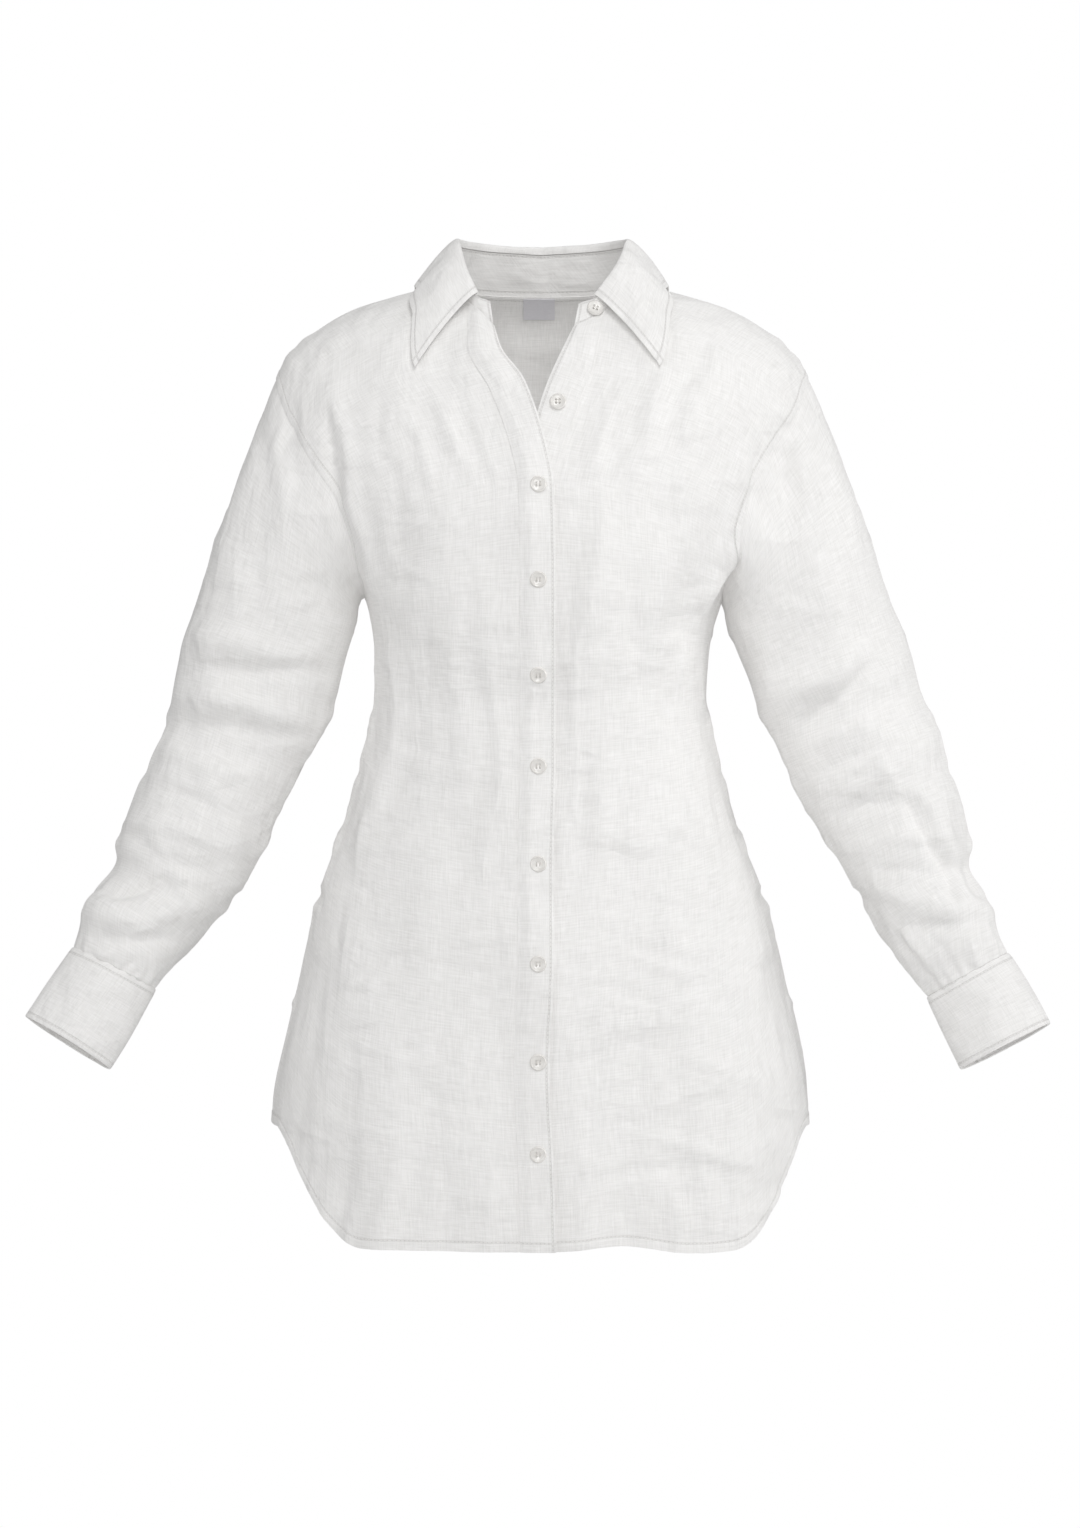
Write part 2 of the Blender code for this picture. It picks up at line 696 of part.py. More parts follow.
def neck_places():
    """Turns, heights and collar shares round the neck seam, from the wearer's left end to the right one."""
    halves = {}
    for side in (LEFT, RIGHT):
        table = BAND_ROWS[side]
        top = table.data["seam_height"].max()
        x = np.interp(steps(BAND_COLUMNS), (0, 1), (table("edge_x", top), table("seam_x", top)))
        height = np.interp(steps(BAND_COLUMNS), (0, 1), (table("edge_height", top), top))
        band = np.stack([turn_at(x, height), height], axis=1)
        halves[side] = np.concatenate([band, neckline_places(side)[::-1][1:]])
    left = halves[LEFT]
    right = halves[RIGHT][::-1] + (360, 0)
    places = np.concatenate([left, back_neck_places()[1:-1], right])
    points = body_section(places[:, 0], places[:, 1])
    travelled = np.concatenate([[0], np.cumsum(np.linalg.norm(np.diff(points, axis=0), axis=1))])
    middle = len(left) - 1 + BACK_NECK_COLUMNS // 2
    index = np.arange(len(places))
    share = np.where(index <= middle, travelled / travelled[middle],
                     (travelled[-1] - travelled) / (travelled[-1] - travelled[middle]))
    return places, share, np.where(index <= middle, LEFT, RIGHT)


def by_side(tables, name, share, sides):
    return np.where(sides == LEFT, tables[LEFT](name, share), tables[RIGHT](name, share))


def stand_lines():
    """The stand's lower and upper edges, with the direction out of the neck at each column."""
    places, share, sides = neck_places()
    base = body(places[:, 0], places[:, 1])
    top = np.stack([by_side(STAND_TOP, "x", share, sides) * sides, by_side(STAND_TOP, "y", share, sides),
                    by_side(STAND_TOP, "height", share, sides)], axis=1)
    east = np.gradient(base, axis=0)
    out = unit(np.cross(east, top - base))
    return base, top, out, share, sides


def stand_grid():
    base, top, _, _, _ = stand_lines()
    rise = unit(top - base)
    share = steps(STAND_ROWS)[::-1, None, None]
    return base[None] + rise[None] * STAND_SEAM_GAP * (1 - share) + (top - base)[None] * share


def collar_grid():
    """The collar from the stand's top, up and over its roll and down to its outer edge."""
    _, top, out, share, sides = stand_lines()
    climb = unit(np.cross(out, np.gradient(top, axis=0)))
    begin = top - out * COLLAR_WALL + climb * COLLAR_CLEARANCE
    for end, inner in ((0, 1), (-1, -2)):
        begin[end] += (begin[inner] - begin[end]) * COLLAR_INSET
    turn = by_side(COLLAR_EDGE, "turn", share, sides) * sides
    end = body(turn, by_side(COLLAR_EDGE, "height", share, sides), by_side(COLLAR_EDGE, "lift", share, sides))
    roll = COLLAR_ROLL("rise", share)[:, None]
    full = COLLAR_ROLL("fullness", share)[:, None]
    up = np.array((0.0, 0.0, 1.0))
    first = begin + unit(2 * climb + up) * roll
    second = end + (begin - end) * 0.5 + out * full + up * full
    rows = []
    for at in steps(COLLAR_ROWS):
        rows.append(begin * (1 - at) ** 3 + first * 3 * at * (1 - at) ** 2
                    + second * 3 * at * at * (1 - at) + end * at ** 3)
    return np.array(rows)


def make_label():
    """A bare tab that lies inside the back, just under the neck seam."""
    across, height = LABEL_CENTRE
    width, drop = LABEL_SIZE
    x = across + width * (steps(2) - 0.5)
    heights = height + drop * (0.5 - steps(1))
    x, heights = np.meshgrid(x, heights)
    turn = 180 - turn_at(x, heights)
    points = body(turn, heights, np.full(x.shape, -WALL - LABEL_CLEARANCE))
    cloth("label", points[:, ::-1], LABEL_WALL, COLOUR_LABEL, 0.6)


def button_mesh():
    """A dished and rimmed disc with four thread holes, its back on the XY plane."""
    shape = bmesh.new()
    line = []
    for across, up in BUTTON_PROFILE:
        line.append(shape.verts.new((across * BUTTON_RADIUS * MM, 0, up * BUTTON_THICKNESS * MM)))
    edges = [shape.edges.new(pair) for pair in zip(line, line[1:])]
    bmesh.ops.spin(shape, geom=line + edges, axis=(0, 0, 1), cent=(0, 0, 0), angle=2 * pi, steps=BUTTON_SIDES,
                   use_merge=True)
    bmesh.ops.remove_doubles(shape, verts=shape.verts, dist=0.00001)
    bmesh.ops.recalc_face_normals(shape, faces=shape.faces)
    mesh = bpy.data.meshes.new("button")
    shape.to_mesh(mesh)
    shape.free()
    return mesh


def hole_cutter_mesh():
    shape = bmesh.new()
    for across in (-1, 1):
        for along in (-1, 1):
            place = Vector((across * BUTTON_HOLE_SPREAD, along * BUTTON_HOLE_SPREAD, 0)) * MM
            bmesh.ops.create_cone(shape, cap_ends=True, segments=BUTTON_HOLE_SIDES,
                                  radius1=BUTTON_HOLE_RADIUS * MM, radius2=BUTTON_HOLE_RADIUS * MM,
                                  depth=BUTTON_DRILL * MM, matrix=Matrix.Translation(place))
    mesh = bpy.data.meshes.new("holes")
    shape.to_mesh(mesh)
    shape.free()
    return mesh


def drilled_button_mesh():
    """The button's mesh after its holes are cut, shared by all twelve."""
    blank = bpy.data.objects.new("button_blank", button_mesh())
    cutter = bpy.data.objects.new("button_holes", hole_cutter_mesh())
    for made in (blank, cutter):
        bpy.context.collection.objects.link(made)
    cut = blank.modifiers.new("holes", "BOOLEAN")
    cut.operation = "DIFFERENCE"
    cut.solver = "EXACT"
    cut.object = cutter
    graph = bpy.context.evaluated_depsgraph_get()
    drilled = bpy.data.meshes.new_from_object(blank.evaluated_get(graph))
    for made in (blank, cutter):
        bpy.data.objects.remove(made)
    return drilled


def place_button(name, mesh, point, out, carrier, up=(0, 0, 1), gap=SEAM_GAP):
    """Sets a button over a point, facing out, clear of the cloth under it, its holes in line with up."""
    out = Vector(out).normalized()
    side = Vector(up).cross(out).normalized()
    above = out.cross(side)
    point = Vector(point)
    tree = BVHTree.FromObject(bpy.data.objects[carrier], bpy.context.evaluated_depsgraph_get())
    lift = []
    for across, along in BUTTON_FEET:
        under = point + (side * across + above * along) * BUTTON_RADIUS
        hit = tree.ray_cast((under + out * BUTTON_SEARCH) * MM, -out, 2 * BUTTON_SEARCH * MM)[0]
        if hit is not None:
            lift.append((hit / MM - under).dot(out))
    made = add_object(name, mesh, COLOUR_BUTTON, 0.25)
    frame = Matrix((side, above, out)).transposed().to_4x4()
    made.matrix_world = Matrix.Translation((point + out * (max(lift) + gap)) * MM) @ frame
    return made


def make_buttons():
    mesh = drilled_button_mesh()
    for number, height in enumerate(BUTTON_HEIGHTS, 1):
        turn = turn_at(BUTTON_X, height)
        point = body(turn, height, BAND_LIFT)
        place_button(f"button_{number}", mesh, point, body_normal(turn, height), "band_right")
    across, height = OPEN_BUTTON
    turn = turn_at(across, height)
    place_button("button_open", mesh, body(turn, height), body_normal(turn, height), "band_left")
    place_stand_button(mesh)
    for side in (RIGHT, LEFT):
        place_cuff_button(side, mesh)


def place_stand_button(mesh):
    """The stand's button, on the wearer's left end."""
    base, top, out, share, _ = stand_lines()
    along, up = STAND_BUTTON
    half = len(share) // 2
    lower, upper, face = (np.array([np.interp(along, share[:half], line[:half, axis]) for axis in range(3)])
                          for line in (base, top, out))
    point = lower + (upper - lower) * up
    place_button("button_stand", mesh, point, face, "collar_stand", upper - lower, STAND_BUTTON_GAP)


def place_cuff_button(side, mesh):
    """A cuff's button, on the lap at the back of the arm."""
    turn = np.array(CUFF_BUTTON_TURN + 360.0)
    middle = np.array(0.5)
    point = cuff_points(side, turn, middle)
    out = cuff_points(side, turn, middle, 10.0) - point
    along = cuff_points(side, turn, np.array(0.0)) - cuff_points(side, turn, np.array(1.0))
    place_button("button_cuff_" + SIDE_NAME[side], mesh, point, out, "cuff_" + SIDE_NAME[side], along)


def main():
    for old in list(bpy.data.objects):
        bpy.data.objects.remove(old)
    make_fronts()
    make_back()
    make_bands()
    make_sleeves()
    make_cuffs()
    cloth("collar_stand", stand_grid(), COLLAR_WALL)
    cloth("collar", collar_grid(), COLLAR_WALL)
    make_label()
    make_buttons()


main()
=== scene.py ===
from math import pi, radians

import bmesh
import bpy
import numpy as np
from mathutils import Matrix, Vector


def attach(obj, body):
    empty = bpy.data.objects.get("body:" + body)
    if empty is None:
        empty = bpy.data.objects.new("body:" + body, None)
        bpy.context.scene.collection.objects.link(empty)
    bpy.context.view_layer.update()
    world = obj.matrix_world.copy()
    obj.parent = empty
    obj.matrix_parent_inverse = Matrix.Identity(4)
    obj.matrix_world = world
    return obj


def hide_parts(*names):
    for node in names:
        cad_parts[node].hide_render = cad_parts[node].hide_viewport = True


bl_info = {
    "name": "Longline linen shirt",
    "version": (1, 0, 0),
    "blender": (4, 5, 0),
    "location": "View3D > Sidebar > Shirt",
    "description": "Sews a hollow linen shirt, filled out as when worn, over its solid pieces",
    "category": "Add Mesh",
}

# Lengths in the tables are millimetres and turns are degrees round the body, 0 at centre front and 90 at
# the wearer's left side. +Z is up and the fronts face -Y. Heights are measured from the neck ends of the
# shoulder seams.

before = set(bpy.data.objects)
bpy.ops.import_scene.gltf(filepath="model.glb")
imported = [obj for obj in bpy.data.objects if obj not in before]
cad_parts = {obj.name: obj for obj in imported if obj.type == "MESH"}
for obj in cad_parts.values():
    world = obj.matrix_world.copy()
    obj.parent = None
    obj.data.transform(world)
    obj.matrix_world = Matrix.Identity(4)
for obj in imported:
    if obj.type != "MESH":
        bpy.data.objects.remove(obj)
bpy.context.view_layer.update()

MM = 0.001
LEFT, RIGHT = 1, -1            # the wearer's left is at +X
SIDE_NAME = {LEFT: "left", RIGHT: "right"}

WALL = 1.2                     # one layer of cloth with its seam allowances
CUFF_WALL = 1.6                # two layers and interlining
COLLAR_WALL = 1.2
CUFF_SEAM_GAP = 0.5            # between a sleeve and its cuff
LAP_GAP = 0.4                  # between the two ends of a cuff
BAND_LIFT = WALL + LAP_GAP     # the upper button band lies this far out over the lower one

# Columns and rows of each grid of cloth.
SHOULDER_COLUMNS = 64
BACK_NECK_COLUMNS = 48
NECK_ROWS = 16
ARMHOLE_ROWS = 72
SIDE_ROWS = 150
BAND_COLUMNS = 12
CAP_ROWS = 40
SLEEVE_ROWS = 104
COLLAR_ROWS = 40
STAND_ROWS = 12
CUFF_COLUMNS = 110
CUFF_ROWS = 24


class Table:
    """Rows of sizes under named columns, read as smooth lines along the first column."""

    def __init__(self, columns, *rows):
        ordered = sorted(rows)
        self.key = columns[0]
        self.data = dict(zip(columns, np.array(ordered, float).T))

    def __call__(self, name, at):
        return smooth_line(self.data[self.key], self.data[name], np.asarray(at, float))


def smooth_line(places, values, at):
    """Cubic through the rows whose slopes are held back, so that it never overshoots one."""
    step = np.diff(places)
    rise = np.diff(values) / step
    slope = np.zeros_like(values)
    slope[0] = rise[0]
    slope[-1] = rise[-1]
    before, after = rise[:-1], rise[1:]
    weight_before = 2 * step[1:] + step[:-1]
    weight_after = step[1:] + 2 * step[:-1]
    turning = before * after <= 0
    safe_before = np.where(turning, 1, before)
    safe_after = np.where(turning, 1, after)
    mean = (weight_before + weight_after) / (weight_before / safe_before + weight_after / safe_after)
    slope[1:-1] = np.where(turning, 0, mean)
    at = np.clip(at, places[0], places[-1])
    row = np.clip(np.searchsorted(places, at) - 1, 0, len(places) - 2)
    share = (at - places[row]) / step[row]
    ahead = share * share * (3 - 2 * share)
    leave = share * (1 - share) ** 2 * step[row] * slope[row]
    arrive = share * share * (share - 1) * step[row] * slope[row + 1]
    return values[row] * (1 - ahead) + values[row + 1] * ahead + leave + arrive


def ramp(start, end, at):
    """0 before start, 1 after end, and a soft slope between."""
    share = np.clip((at - start) / (end - start), 0, 1)
    return share * share * (3 - 2 * share)


# The body, section by section: how far the cloth reaches sideways, forwards and backwards.
TORSO = Table(
    ("height", "half_width", "front", "back"),
    (0, 78, 14, 66),
    (-6, 97, 28, 74),
    (-13, 121, 44, 81),
    (-23, 151, 60, 88),
    (-37, 176, 73, 95),
    (-56, 199, 85, 102),
    (-76, 212, 95, 107),
    (-101, 219, 105, 110),
    (-142, 207, 115, 110),
    (-180, 187, 122, 107),
    (-216, 163, 125, 103),
    (-252, 143, 124, 98),
    (-300, 134, 116, 93),
    (-336, 133, 110, 91),
    (-414, 151, 113, 99),
    (-478, 172, 118, 109),
    (-542, 190, 124, 118),
    (-606, 204, 128, 125),
    (-670, 212, 131, 129),
    (-765, 217, 134, 133),
)
SECTION_POWER = 2 / 2.25       # a little squarer than an ellipse

# Large soft folds of the body. Each runs between two places, with its half width in degrees of turn.
BODY_FOLDS = (
    # top turn, top height, low turn, low height, half width, rise
    (-58, -90, -66, -300, 9, 5),
    (58, -110, 66, -290, 9, 5),
    (-50, -300, -62, -480, 10, 3),
    (17, -190, 12, -420, 6, 3.5),
    (38, -170, 30, -400, 8, 3),
    (-24, -200, -18, -420, 8, 2.5),
    (-30, -520, -38, -980, 12, 4),
    (42, -500, 48, -980, 11, 6),
    (14, -540, 20, -980, 9, -3),
    (150, -60, 158, -420, 8, 4),
    (210, -60, 202, -420, 8, 4),
    (178, -130, 181, -460, 9, -4),
    (128, -420, 122, -980, 11, 6),
    (165, -400, 160, -980, 10, -4),
    (192, -430, 197, -980, 11, 5),
    (236, -430, 241, -980, 10, 5),
)
FOLD_FADE = 0.3                # share of a fold's length over which it rises and dies

SHOULDER_POINT = -76           # heights of the places where seams meet
UNDERARM = -252
SIDE_SEAM_END = -671
HEM_DROP = 86                  # the tails hang this far below the side seams
HEM_START = 12                 # degrees from the side seam where the hem starts to sweep down
HEM_END = {RIGHT: 54, LEFT: 51}
HEM_DIPS = (                   # turn, half width and rise of the soft dips of its edge
    (14, 8, 4),
    (32, 10, -3),
)
BACK_NECK_DROP = 2

ARMHOLE = Table(
    ("height", "front_x", "back_x"),
    (-76, 212, 212),
    (-105, 203, 206),
    (-148, 176, 184),
    (-185, 155, 164),
    (-215, 145, 150),
    (-237, 143, 145),
    (-252, 143, 143),
)
NECKLINE = Table(
    ("height", "x"),
    (0, 78),
    (-6, 74),
    (-14, 66),
    (-24, 57),
    (-35, 47),
)

# Each button band, from its seam to its free edge. The two part above the highest fastened button.
BAND_ROWS = {
    RIGHT: Table(
        ("seam_height", "seam_x", "edge_height", "edge_x"),
        (-24, -57, -46, -37),
        (-58, -57.5, -64, -31),
        (-97, -39.5, -87, -14.5),
        (-122, -29.5, -115, -3.5),
        (-148, -22, -144, 4.5),
        (-173, -17.5, -172, 9),
        (-240, -16.5, -240, 10.5),
        (-380, -16.5, -380, 10.5),
        (-460, -18, -460, 9),
        (-540, -18, -540, 9),
        (-620, -21, -620, 6),
        (-690, -18, -690, 9),
        (-757, -16, -757, 11),
    ),
    LEFT: Table(
        ("seam_height", "seam_x", "edge_height", "edge_x"),
        (-35, 47, -46, 25),
        (-76, 40, -68, 14.5),
        (-100, 30.5, -91, 4.5),
        (-124, 22.5, -116, -3.5),
        (-149, 14, -145, -11),
        (-173, 9.5, -172, -16.5),
        (-240, 9.5, -240, -16),
        (-380, 9.5, -380, -16),
        (-460, 8, -460, -17.5),
        (-540, 8, -540, -17.5),
        (-620, 5, -620, -20.5),
        (-690, 8, -690, -17.5),
        (-757, 10, -757, -15.5),
    ),
}

# Rings of each sleeve from the underarm down to the cuff seam, and the end of the cuff: where the centre
# is, and half the ring's size across the picture and from front to back.
SLEEVE = {
    RIGHT: Table(
        ("ring", "x", "y", "height", "half_width", "half_depth"),
        (0, -207, -2, -254, 64, 60),
        (1, -224, -1, -306, 63.5, 57),
        (2, -240, -1, -355, 59, 53),
        (3, -260, -4, -404, 55, 50),
        (4, -284, -11, -453, 51.5, 46),
        (5, -303, -18, -489, 45, 42),
        (6, -328, -28, -528, 39.5, 37),
        (7, -339, -32, -549, 35, 28),
    ),
    LEFT: Table(
        ("ring", "x", "y", "height", "half_width", "half_depth"),
        (0, 209, -2, -254, 64, 60),
        (1, 230, -1, -306, 64, 57),
        (2, 249, -1, -355, 61, 53),
        (3, 268, -4, -404, 57, 50),
        (4, 289, -11, -451, 51, 46),
        (5, 303, -18, -487, 44.5, 42),
        (6, 325, -28, -530, 40, 37),
        (7, 338, -32, -554, 35, 28),
    ),
}
LAST_RING = 7
CUFF_END = {RIGHT: Vector((-373, -45, -604)), LEFT: Vector((365, -44, -607))}
CUFF_HALF_WIDTH = (36.5, 39)   # at the seam and at the end
CUFF_HALF_DEPTH = (28, 28)
CUFF_OVERLAP = 40              # degrees round the arm that the two ends of a cuff share
CUFF_LAP_START = 235           # degrees round the arm where the lower end begins
CUFF_LAP_RISE = (-50, -5)      # degrees before the upper end meets the lower one over which it rises
# How far the cloth leaves the armhole sideways, at the shoulder and more at the underarm.
CAP_SPREAD = (0.12, 0.3)

# Large folds of a sleeve: the ring where each lies, how far round the arm from its outer edge, its reach
# in rings and in degrees, and its rise.
SLEEVE_FOLDS = {
    RIGHT: (
        (0.9, 60, 0.35, 55, 4),
        (1.7, 100, 0.3, 60, 5),
        (2.4, 70, 0.28, 60, -4),
        (3.3, 80, 0.35, 60, 4),
        (4.9, 40, 0.3, 50, -5),
        (5.7, 30, 0.35, 70, 6),
        (1.3, 250, 0.4, 60, 4),
        (3.0, 240, 0.4, 60, -4),
        (5.4, 230, 0.35, 60, 5),
    ),
    LEFT: (
        (1.1, 120, 0.3, 50, 4),
        (1.8, 80, 0.3, 60, -5),
        (2.6, 60, 0.35, 60, 5),
        (3.6, 90, 0.35, 50, -3),
        (4.9, 30, 0.3, 50, -5),
        (5.6, 20, 0.35, 60, 6),
        (1.5, 260, 0.4, 60, 4),
        (3.2, 250, 0.4, 60, -4),
        (5.3, 240, 0.35, 60, 4),
    ),
}

# The collar's sections from a front end (share 0) to centre back (share 1).
STAND_TOP = {
    RIGHT: Table(
        ("share", "x", "y", "height"),
        (0, 49, -67, -24),
        (0.2, 61, -46, 2),
        (0.475, 67.5, -3, 28),
        (0.75, 46, 45, 31),
        (1, 0, 61, 30),
    ),
    LEFT: Table(
        ("share", "x", "y", "height"),
        (0, 38, -70, -26),
        (0.2, 58, -49, 1),
        (0.475, 69, -3, 28),
        (0.75, 46, 45, 31),
        (1, 0, 61, 30),
    ),
}
COLLAR_EDGE_COLUMNS = ("share", "turn", "height", "lift")
COLLAR_EDGE_ROWS = (           # behind the points, the same on both sides
    (0.2, 31.5, -38, 4.5),
    (0.35, 56, -11.5, 4),
    (0.475, 90, -7, 4),
    (0.6, 125, -11, 5),
    (0.75, 150, -16, 6),
    (1, 180, -18, 7),
)
COLLAR_EDGE = {
    RIGHT: Table(COLLAR_EDGE_COLUMNS, (0, 24.5, -79, 4.5), *COLLAR_EDGE_ROWS),
    LEFT: Table(COLLAR_EDGE_COLUMNS, (0, 22.5, -79, 4.5), *COLLAR_EDGE_ROWS),
}
COLLAR_CLEARANCE = 1.1         # over the stand's top line
COLLAR_ROLL = Table(
    ("share", "rise", "fullness"),
    (0, 11, 6),
    (0.2, 15, 5),
    (0.475, 19, 4),
    (1, 20, 10),
)

BUTTON_HEIGHTS = (-171.5, -244, -315.6, -386.9, -462, -538.3, -612.8, -682.7)
BUTTON_X = -2.5
OPEN_BUTTON = (12.5, -107)     # across and height, on the lower band
STAND_BUTTON = (0.07, 0.38)    # share of the neck seam from the left end, and of the stand's rise
BUTTON_RADIUS = 6.6
BUTTON_THICKNESS = 2.6
BUTTON_HOLE_RADIUS = 0.85
BUTTON_HOLE_SPREAD = 1.35      # centre of each hole from the middle, across and along
BUTTON_SIDES = 40
BUTTON_PROFILE = (
    # share of the radius, share of the thickness
    (0, 0),
    (0.88, 0),
    (1, 0.42),
    (0.955, 0.81),
    (0.82, 1),
    (0.7, 0.77),
    (0, 0.77),
)
CUFF_BUTTON_TURN = 257

LABEL_CENTRE = (-2, -9.8)      # across and height, inside the back neck
LABEL_SIZE = (26, 15.5)

# What only the visible pieces need.
SLEEVE_COLUMNS = 144
COLLAR_COLUMNS = 200
COLLAR_START = 0.04            # share of the stand's half that it runs past each end of the collar
SLEEVE_TUCK = 0.6              # how far the sleeve's seam lies inside the panels
STAND_TUCK = 2.0               # how far the stand's seam reaches below the neckline
HEM_WIDTH = 8.5
HEM_STRIP_LIFT = 0.45          # of the turned hem over the cloth
FELL_WIDTH = 7
FELL_LIFT = 0.28               # of the felled allowance over the cloth
FELL_STITCHES = 1.2            # how far inside the fell's own edge its stitches lie
EDGE_FADE = 6                  # how fast the shape of a panel's upper or lower edge dies away inside it
STITCH_LENGTH = 0.0032         # metres
LABEL_LIFT = 1.2
LABEL_THICKNESS = 0.0006
BAND_BULGES = (                # height, reach and rise of the soft bulges of the upper band's free edge
    (-560, 14, 0.8),
    (-640, 15, 2.4),
    (-668, 9, -0.6),
    (-738, 24, 2.0),
)
STAND_END_REACH = 9            # how far the stand's top corners reach past its ends
SEAM_LIFT = 0.25               # of a band over its front at their seam
BAND_STANDS = {RIGHT: BAND_LIFT + 1.7, LEFT: 0.6}   # how far out the rest of a band lies
BUTTON_STANDS = {"band": BAND_LIFT + 1.4, "open": 1.6, "stand": 1.6, "cuff": 1.6}
BUTTON_EDGE_ANGLE = radians(50)
HOLE_LENGTH = 20
HOLE_STITCHES = 27
OPEN_HOLE = (-14, -107)        # across and height, where the upper band's free hole lies

FLOOR_HEIGHT = -1.4            # metres, as far below the neck as under a wearer
FLOOR_REACH = 1.8              # to each side
WORLD_LIGHT = 0.36
LIGHT_AIM = (0, 0, -0.38)
# Place, size across and power.
SOFT_LIGHTS = (
    ("key_softbox", (0.25, -3.1, 0.35), 1.2, 20),
    ("top_softbox", (0.5, -1.7, 1.5), 1.2, 17),
    ("side_softbox", (2.6, -0.5, 0.2), 1.3, 19),
    ("fill_softbox", (-2.4, -2.4, 0.2), 2.0, 14),
)
CAMERA_PLACE = (-0.0012, -2.8, -0.385)
CAMERA_LENS = 82.46


# ----------------------------------------------------------------------------------------------------------
# The body's surface

def body_section(turn, height):
    """Points of the plain body, with turn in degrees."""
    across = np.sin(np.radians(turn))
    along = np.cos(np.radians(turn))
    reach = np.where(along > 0, TORSO("front", height), TORSO("back", height))
    x = TORSO("half_width", height) * np.sign(across) * np.abs(across) ** SECTION_POWER
    y = -reach * np.sign(along) * np.abs(along) ** SECTION_POWER
    return np.stack(np.broadcast_arrays(x, y, height), axis=-1)


def turn_at(x, height):
    """Turn of the front's point at this distance across."""
    share = np.clip(np.abs(x) / TORSO("half_width", height), 0, 1)
    return np.sign(x) * np.degrees(np.arcsin(share ** (1 / SECTION_POWER)))


def fold_rise(turn, height):
    """How far the large folds lift the cloth here."""
    total = np.zeros(np.broadcast(turn, height).shape)
    for top_turn, top_height, low_turn, low_height, half_width, rise in BODY_FOLDS:
        down = (height - top_height) / (low_height - top_height)
        middle = top_turn + (low_turn - top_turn) * down
        away = (turn - middle + 180) % 360 - 180
        life = ramp(0, FOLD_FADE, down) * ramp(0, FOLD_FADE, 1 - down)
        total = total + rise * life * np.exp(-(away / half_width) ** 2)
    return total


def folded_body(turn, height):
    """Points of the body with its large folds, which lift it level and away from the body's axis."""
    turn, height = np.broadcast_arrays(np.asarray(turn, float), np.asarray(height, float))
    points = body_section(turn, height)
    reach = np.where(np.cos(np.radians(turn)) > 0, TORSO("front", height), TORSO("back", height))
    out = np.stack([points[..., 0] / TORSO("half_width", height) ** 2, points[..., 1] / reach ** 2,
                    np.zeros_like(height)], axis=-1)
    out /= np.linalg.norm(out, axis=-1, keepdims=True)
    return points + out * fold_rise(turn, height)[..., None]


def body_normal(turn, height):
    """Unit direction straight out of the cloth."""
    east = folded_body(np.asarray(turn) + 0.5, height) - folded_body(np.asarray(turn) - 0.5, height)
    north = folded_body(turn, np.asarray(height) + 0.5) - folded_body(turn, np.asarray(height) - 0.5)
    out = np.cross(east, north)
    return out / np.linalg.norm(out, axis=-1, keepdims=True)


def hem_height(turn):
    """Height of the curved hem, whose sweeps and soft dips the back shares with the fronts."""
    turn = (np.asarray(turn, float) + 180) % 360 - 180
    across = np.where(np.abs(turn) > 90, np.sign(turn) * 180 - turn, turn)
    end = np.where(across < 0, HEM_END[RIGHT], HEM_END[LEFT])
    height = SIDE_SEAM_END - HEM_DROP * ramp(HEM_START, end, 90 - np.abs(across))
    for middle, half_width, rise in HEM_DIPS:
        height = height + rise * np.exp(-((across - middle) / half_width) ** 2)
    return height


def even_places(path, shares):
    """Places at these shares of the true length of a path of turns and heights."""
    length = np.linalg.norm(np.diff(body_section(path[:, 0], path[:, 1]), axis=0), axis=1)
    travelled = np.concatenate([[0], np.cumsum(length)]) / length.sum()
    return np.stack([np.interp(shares, travelled, path[:, axis]) for axis in range(2)], axis=1)


def steps(count):
    return np.linspace(0, 1, count + 1)


FINE = steps(400)


def armhole_path(side, edge):
    """Turns and heights down one half of an armhole: edge is front_x or back_x."""
    height = SHOULDER_POINT + (UNDERARM - SHOULDER_POINT) * FINE
    turn = turn_at(ARMHOLE(edge, height), height)
    turn[0] = turn[-1] = 90
    if edge == "back_x":
        turn = 180 - turn
    return np.stack([side * turn % 360 if edge == "back_x" else side * turn, height], axis=1)


def shoulder_path(side):
    """Turns and heights along a shoulder seam, from the neck out."""
    return np.stack([np.full_like(FINE, 90.0 * side), SHOULDER_POINT * FINE], axis=1)


# ----------------------------------------------------------------------------------------------------------
# Grids of cloth, each an array of turns and heights: rows run down, columns run round

def fill(top, bottom, start, end):
    """Grid between four edges. The shapes of the top and bottom edges die away towards the middle."""
    across = steps(len(top) - 1)[None, :, None]
    travelled = (start[:, 1] - start[0, 1]) / (start[-1, 1] - start[0, 1])
    also = (end[:, 1] - end[0, 1]) / (end[-1, 1] - end[0, 1])
    down = ((travelled + also) / 2)[:, None, None]
    ruled = start[:, None, :] * (1 - across) + end[:, None, :] * across
    top_bow = top[None] - (top[0] * (1 - across) + top[-1] * across)
    bottom_bow = bottom[None] - (bottom[0] * (1 - across) + bottom[-1] * across)
    return ruled + top_bow * (1 - down) ** EDGE_FADE + bottom_bow * down ** EDGE_FADE


def neckline_places(side):
    """Front neckline from the shoulder seam to the band's seam."""
    lowest = BAND_ROWS[side].data["seam_height"].max()
    height = lowest * steps(NECK_ROWS) ** 1.3
    return np.stack([side * turn_at(NECKLINE("x", height), height), height], axis=1)


def band_seam_heights(side):
    """Heights of the rows below the neckline along the band's seam."""
    highest = BAND_ROWS[side].data["seam_height"].max()
    upper = highest + (UNDERARM - highest) * steps(ARMHOLE_ROWS - NECK_ROWS)
    lower = UNDERARM + (SIDE_SEAM_END - HEM_DROP - UNDERARM) * steps(SIDE_ROWS)
    return np.concatenate([upper, lower[1:]])


